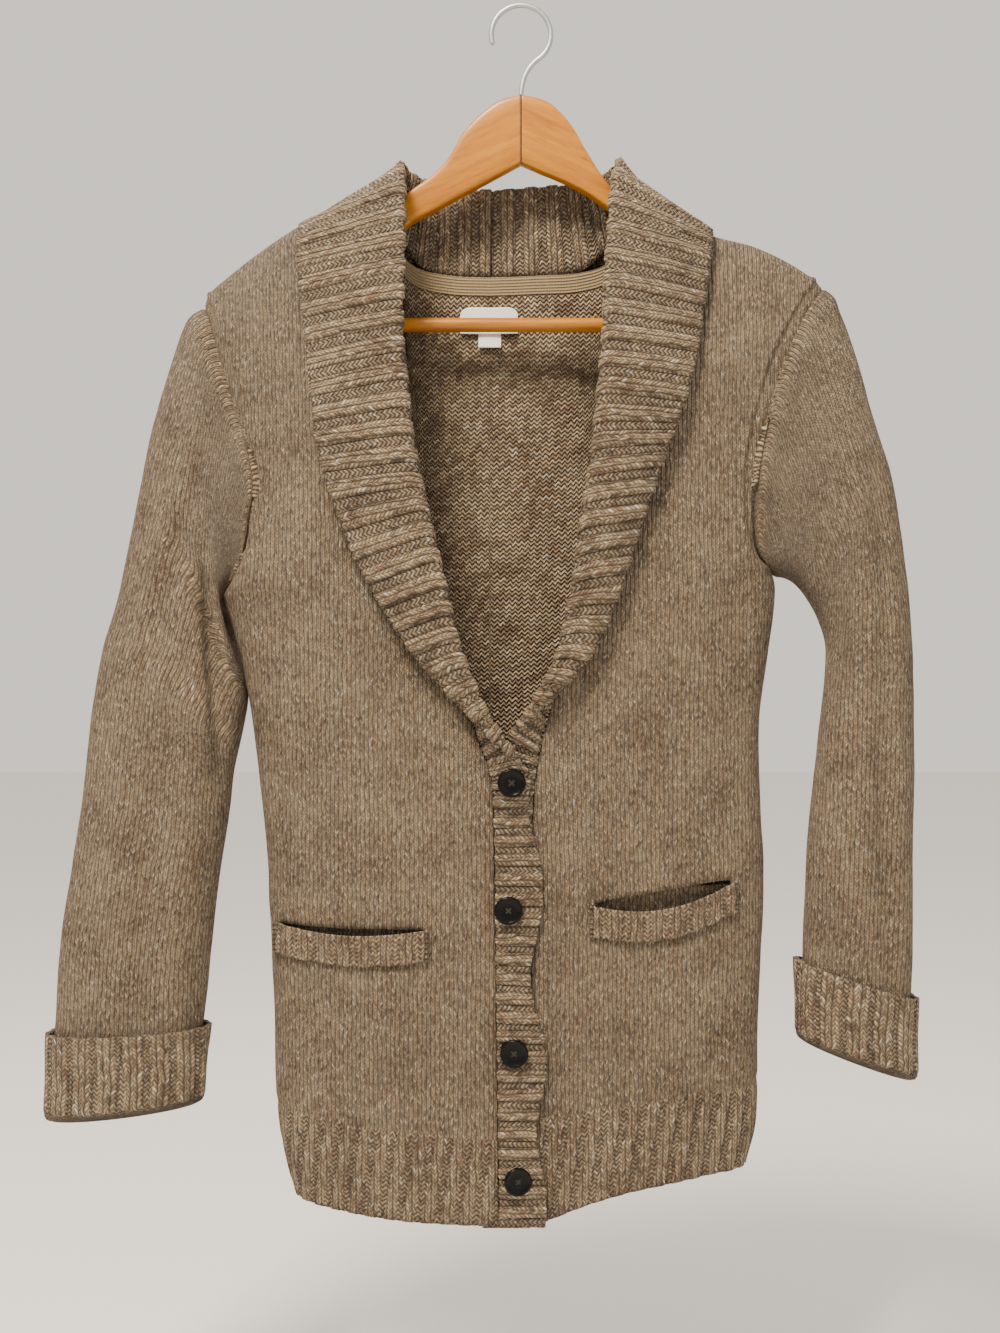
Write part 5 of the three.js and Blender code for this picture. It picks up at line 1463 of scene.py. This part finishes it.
# ------------------------------------------------------------------ hanger
@dataclass
class Hanger:
    """Two curved beech arms, a round trouser bar between them and a wire hook."""

    thickness: float = 13.0
    bar_diameter: float = 10.0
    bar_z: float = -222.0
    bar_x: float = -6.0
    bar_length: float = 402.0
    wire: float = 3.6
    inside_radius: float = 19.0
    stem_foot: float = -64.0

    def build(self, steel: bpy.types.Material) -> None:
        """Build the arms, the bar and the hook."""
        for name, rows, slope in (("right", ARM_RIGHT, 0.42), ("left", ARM_LEFT, -0.40)):
            self.build_arm(name, rows, WoodFinish(f"lacquered_beech_{name}_arm", slope, joint=True).make())
        self.build_bar(WoodFinish("lacquered_beech_bar").make())
        self.build_hook(steel)

    def build_arm(self, name: str, rows: Track, wood: bpy.types.Material) -> None:
        """One arm, with its rounded section, from the hook to the shoulder tip."""
        ends = rows.key[[0, -1]] if name == "left" else rows.key[[-1, 0]]

        def form(along: Array, around: Array) -> Array:
            x = lerp(ends[0], ends[1], along)
            top, bottom = rows.read("top", x), rows.read("bottom", x)
            angle = math.tau * around
            cos, sin = np.cos(angle), np.sin(angle)
            y = self.thickness / 2 * np.sign(cos) * np.abs(cos) ** 0.28
            z = (top + bottom) / 2 + (top - bottom) / 2 * np.sign(sin) * np.abs(sin) ** 0.42
            return np.stack([x, y, z], axis=-1)

        arm = rod(f"hanger_{name}_arm_turned", 150, 48, form, wood)
        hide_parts(f"hanger_arm_{name}")

    def build_bar(self, wood: bpy.types.Material) -> None:
        """The round bar."""

        def form(along: Array, around: Array) -> Array:
            angle = math.tau * around
            r = self.bar_diameter / 2
            x = self.bar_x + self.bar_length * (along - 0.5)
            return np.stack([x, r * np.cos(angle), self.bar_z + r * np.sin(angle)], axis=-1)

        bar = rod("hanger_bar_turned", 60, 40, form, wood)
        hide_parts("hanger_bar")

    def build_hook(self, steel: bpy.types.Material) -> None:
        """The hook: most of a circle, then a stem with a gentle bend, ending above the wood."""
        line = self.inside_radius + self.wire / 2
        end = math.radians(-50)

        def centre(t: Array) -> Array:
            sweep = np.radians(lerp(200.0, -50.0, np.clip(t / 0.7, 0, 1)))
            round_part = np.stack([line * np.cos(sweep), 0 * t, -self.inside_radius + line * np.sin(sweep)], axis=-1)
            s = np.clip((t - 0.7) / 0.3, 0, 1)[..., None]
            start = np.array([line * math.cos(end), 0.0, -self.inside_radius + line * math.sin(end)])
            bend, foot = np.array([0.5, 0.0, -43.5]), np.array([0.0, 0.0, self.stem_foot + 2.5])
            stem = start * (1 - s) ** 2 + bend * 2 * s * (1 - s) + foot * s**2
            return np.where((t <= 0.7)[..., None], round_part, stem)

        def form(along: Array, around: Array) -> Array:
            h = 1e-3
            tangent = centre(np.minimum(along + h, 1)) - centre(np.maximum(along - h, 0))
            tangent /= np.linalg.norm(tangent, axis=-1, keepdims=True)
            across = np.array([0.0, 1.0, 0.0])
            normal = np.cross(tangent, across)
            angle = (math.tau * around)[..., None]
            radius = self.wire / 2 * (0.35 + 0.65 * np.sqrt(np.clip(along / 0.012, 0, 1)))[..., None]
            return centre(along) + radius * (np.cos(angle) * normal + np.sin(angle) * across)

        hook = rod("hanger_hook_wire", 160, 24, form, steel)
        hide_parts("hanger_hook")


# ------------------------------------------------------------------ the garment's tables
RIGHT_HEM = Track("x z", [(-175, -762), (-154, -764), (-90, -771), (-28, -777), (-10, -777)])
LEFT_HEM = Track("x z", [(0, -764), (16, -764), (70, -756), (106, -751), (157, -747), (175, -747)])
BACK_HEM = Track("x z", [(-180, -764), (-90, -772), (-20, -776), (80, -768), (170, -748)])

RIGHT_SLEEVE = [
    (-236, -226, -209.5, -420, 28, 0), (-245, -252, -209, -432, 29, 0), (-258, -297, -199, -452, 30, 0),
    (-266, -338, -191, -479, 31, 0), (-280, -408, -195, -506, 31, -1), (-292, -450, -200, -532, 30, -2),
    (-299, -495, -204, -562, 29, -3), (-304, -545, -209, -598, 28, -4), (-312, -595, -214, -640, 27, -5),
    (-319, -645, -218, -680, 26, -6), (-324, -714, -222, -709, 25, -6), (-327, -771, -225, -759, 25, -6),
]
LEFT_SLEEVE = [
    (223, -214, 184, -399, 28, 0), (234, -244, 192, -404, 29, 0), (248, -292, 200, -414, 30, 0),
    (258, -328, 208, -429, 31, 0), (266, -376, 213, -448, 31, -1), (271, -430, 212, -476, 30, -2),
    (273, -490, 208, -513, 29, -3), (273, -545, 203, -554, 28, -4), (272, -600, 199, -598, 27, -5),
    (271, -645, 197, -634, 26, -6), (270, -689, 196, -664, 25, -6), (271, -743, 196, -716, 25, -6),
]
RIGHT_SLEEVE_FOLDS = [
    Fold(-212, -450, -0.07, 5, 55, -11.0), Fold(-236, -350, 0.25, 9, 90, 3.4), Fold(-246, -420, 0.25, 8, 110, -3.0), Fold(-222, -520, 0.1, 9, 90, 2.6),
    Fold(-276, -560, 0.1, 10, 120, 2.6), Fold(-258, -640, 0.08, 9, 80, -2.6), Fold(-236, -690, 0.1, 9, 50, 2.4),
]
LEFT_SLEEVE_FOLDS = [
    Fold(235, -400, -0.12, 9, 120, 3.0), Fold(247, -520, -0.02, 7, 160, -3.4), Fold(224, -560, 0.02, 10, 120, 2.8),
    Fold(222, -450, -0.1, 8, 60, -2.4), Fold(262, -640, 0.0, 8, 60, 2.0), Fold(215, -650, 0.05, 9, 60, -2.2),
]

RIGHT_BACK_COLLAR = [
    (-21, -21, 28, -115, -21, 46, -196), (-50, -50, 27, -114, -60, 46, -192), (-75, -68, 21, -111, -104, 40, -186),
    (-90, -78, 12, -107, -134, 26, -170), (-91.2, -80, 6, -105, -145, 16, -158), (-92, -81, -3, -105, -152, 4, -149),
]
RIGHT_COLLAR = [
    (-136, -80.5, -14, -107, -153, -155, 5), (-150, -77.5, -31, -122, -153, -162, 5),
    (-172, -76, -47, -160, -152, -182, 6), (-208, -77, -56, -204, -148, -222, 7),
    (-254, -77.5, -60.5, -250, -143, -268, 8), (-302, -74.5, -62.5, -291, -138, -306, 9),
    (-345, -68, -64, -330, -129, -341, 9), (-385, -60, -64, -362, -113, -387, 9),
    (-425, -50, -64, -405, -91, -427, 9), (-460, -42, -63, -440, -70, -454, 9),
    (-485, -32, -61, -467, -49, -478, 9), (-505, -22, -59, -490, -31, -498, 9),
    (-520, -10, -56, -511, -13, -518, 10), (-533, 1, -49.8, -527, 7, -530, 3.5),
]
LEFT_BACK_COLLAR = [
    (-21, -21, 28, -115, -21, 46, -196), (8, 8, 27, -114, 18, 46, -191), (45, 38, 22, -113, 66, 40, -186),
    (77, 63, 12, -107, 104, 27, -171), (79, 66, 6, -103, 122, 17, -162), (80, 67, -3, -102, 131, 4, -155),
]
LEFT_COLLAR = [
    (-136, 65.0, -14, -104, 131.5, -161, 8), (-150, 60.5, -30, -120, 131, -168, 5),
    (-172, 55.5, -44, -155, 129, -180, 6), (-210, 53, -52.5, -190, 125, -208, 7),
    (-257, 52, -56.3, -233, 120, -245, 8), (-305, 50, -58, -270, 109, -283, 9),
    (-345, 44, -59, -318, 96, -318, 9), (-385, 38, -59, -360, 83, -360, 9),
    (-425, 33, -58, -405, 67, -405, 9), (-460, 25, -56, -442, 50, -446, 9),
    (-482, 15, -54, -468, 32, -470, 8), (-502, 3, -50, -489, 12, -491, 6),
    (-520, -9, -46, -508, -5, -509, 3),
]
RIGHT_BAND_EDGE = Track("z x", [(-530, 9), (-536, 8), (-559, 3), (-595, 13), (-629, 13), (-665, 5),
                                (-688, 8), (-726, 17), (-778, 9), (-811, 16), (-840, 16)])
LEFT_BAND_EDGE = Track("z x", [(-530, -19), (-536, -20), (-600, -26), (-840, -26)])

ARM_RIGHT = Track("x top bottom", [
    (-0.1, -61.8, -110), (-15, -66, -118), (-29, -76, -125.5), (-41, -89, -132), (-50, -105, -137),
    (-62, -118, -143.5), (-77, -129, -151.5), (-89, -139, -162), (-106, -144.5, -169), (-120, -148, -175),
    (-141, -155, -185), (-156, -161, -193), (-170, -168, -201), (-183, -177, -209), (-196, -187, -219),
    (-206, -195, -226), (-214, -204, -230), (-217, -213, -228),
])
ARM_LEFT = Track("x top bottom", [
    (0.1, -61.8, -110), (14, -65, -116), (23, -70, -119.5), (35, -83, -125), (46, -102, -131),
    (59, -122, -140), (74, -138, -151), (93, -147.5, -162), (107, -153, -169), (134, -165, -182),
    (148, -168.5, -190), (162, -172.5, -198), (174, -178, -208), (186, -184, -218), (198, -192, -228),
    (204, -198, -230), (207, -205, -226),
])
BUTTONS = [(-7, -539, 5.2, 0.05), (-9, -625, 0.5, 0.0), (-5, -721, 0.5, -0.05), (-3, -807, 0.5, 0.22)]
STITCH = WoolFinish("wool_sewing_yarn", Knit.PLAIN, ground="#5f4e40", shade="#4a3b2f", light="#7a6857")


# ------------------------------------------------------------------ stage
@dataclass
class Stage:
    """A pale floor, soft light from the upper left and a level camera."""

    floor_z: float = -1.05
    distance: float = 1.15
    frame_width: float = 0.70
    centre: tuple[float, float] = (-0.0147, -0.461)

    def build(self) -> None:
        """Build the floor, the lights, the world and the camera."""
        bm = bmesh.new()
        bmesh.ops.create_grid(bm, x_segments=4, y_segments=4, size=8.0)
        bmesh.ops.translate(bm, vec=(0, 0, self.floor_z), verts=bm.verts)
        place_mesh("studio_floor", bm, [PaintFinish().make()])
        self.light("key", (-0.55, -1.10, 1.30), 0.5, 96.0, "#fff1de")
        self.light("fill", (1.4, -1.7, -0.1), 1.6, 5.0, "#f6f1ea")
        self.light("rim", (-0.5, 1.3, 0.7), 1.2, 5.0, "#ffffff")
        world = bpy.data.worlds.new("studio_air")
        world.use_nodes = True
        air = world.node_tree.nodes["Background"]
        air.inputs["Color"].default_value = linear("#fbf4ea")
        air.inputs["Strength"].default_value = 1.05
        bpy.context.scene.world = world
        self.camera()

    def light(self, name: str, place: tuple[float, float, float], size: float, power: float, hue: str) -> None:
        """Add a square soft light that looks at the garment's middle."""
        data = bpy.data.lights.new(name, "AREA")
        data.shape, data.size, data.energy = "SQUARE", size, power
        data.color = linear(hue)[:3]
        lamp = bpy.data.objects.new(name, data)
        lamp.location = place
        x, y, z = (target - at for target, at in zip((0.0, 0.0, -0.45), place))
        lamp.rotation_euler = (math.atan2(math.hypot(x, y), -z), 0.0, math.atan2(-x, y))
        bpy.context.scene.collection.objects.link(lamp)

    def camera(self) -> None:
        """Add the camera, level and square to the front."""
        data = bpy.data.cameras.new("camera")
        data.sensor_fit = "HORIZONTAL"
        data.angle_x = 2 * math.atan(self.frame_width / 2 / self.distance)
        camera = bpy.data.objects.new("camera", data)
        camera.location = (self.centre[0], -self.distance, self.centre[1])
        camera.rotation_euler = (math.pi / 2, 0, 0)
        bpy.context.scene.collection.objects.link(camera)
        bpy.context.scene.camera = camera


def main() -> None:
    """Build everything in order."""
    Stage().build()
    plain = WoolFinish("heathered_lambswool_plain", Knit.PLAIN).make()
    purl = WoolFinish("heathered_lambswool_purl", Knit.PURL, flecks=0.35).make()
    rib = WoolFinish("heathered_lambswool_rib", Knit.RIB, wale=4.3, course=3.0).make()
    back = WoolFinish("heathered_lambswool_rib_back", Knit.RIB, wale=4.3, course=3.0, reverse=True)
    wool, ribs = (plain, purl), (rib, back.make())
    Hanger().build(SteelFinish().make())
    Back(RibbedHem(BACK_HEM)).build(wool, ribs)
    Front(RIGHT, POCKETS["right"], RibbedHem(RIGHT_HEM)).build(wool, plain, ribs)
    Front(LEFT, POCKETS["left"], RibbedHem(LEFT_HEM, lean=-0.18)).build(wool, plain, ribs)
    Sleeve(RIGHT, RIGHT_SLEEVE, RIGHT_SLEEVE_FOLDS).build(wool, ribs)
    Sleeve(LEFT, LEFT_SLEEVE, LEFT_SLEEVE_FOLDS).build(wool, ribs)
    ShawlCollar(RIGHT, RIGHT_BACK_COLLAR, RIGHT_COLLAR, RIGHT_BAND_EDGE).build(ribs)
    ShawlCollar(LEFT, LEFT_BACK_COLLAR, LEFT_COLLAR, LEFT_BAND_EDGE, phase=0.4).build(ribs)
    NeckTrim().build(TapeFinish().make(), LabelFinish().make())
    gloss, thread = ButtonFinish().make(), ThreadFinish().make()
    for n, (x, z, lift, tilt) in enumerate(BUTTONS, 1):
        Button(f"button_{n}_face", x, z, lift, tilt).build(gloss, thread)


if __name__ == "__main__":
    logging.basicConfig(level=logging.INFO, format="%(name)s %(message)s", stream=sys.stdout)
    main()
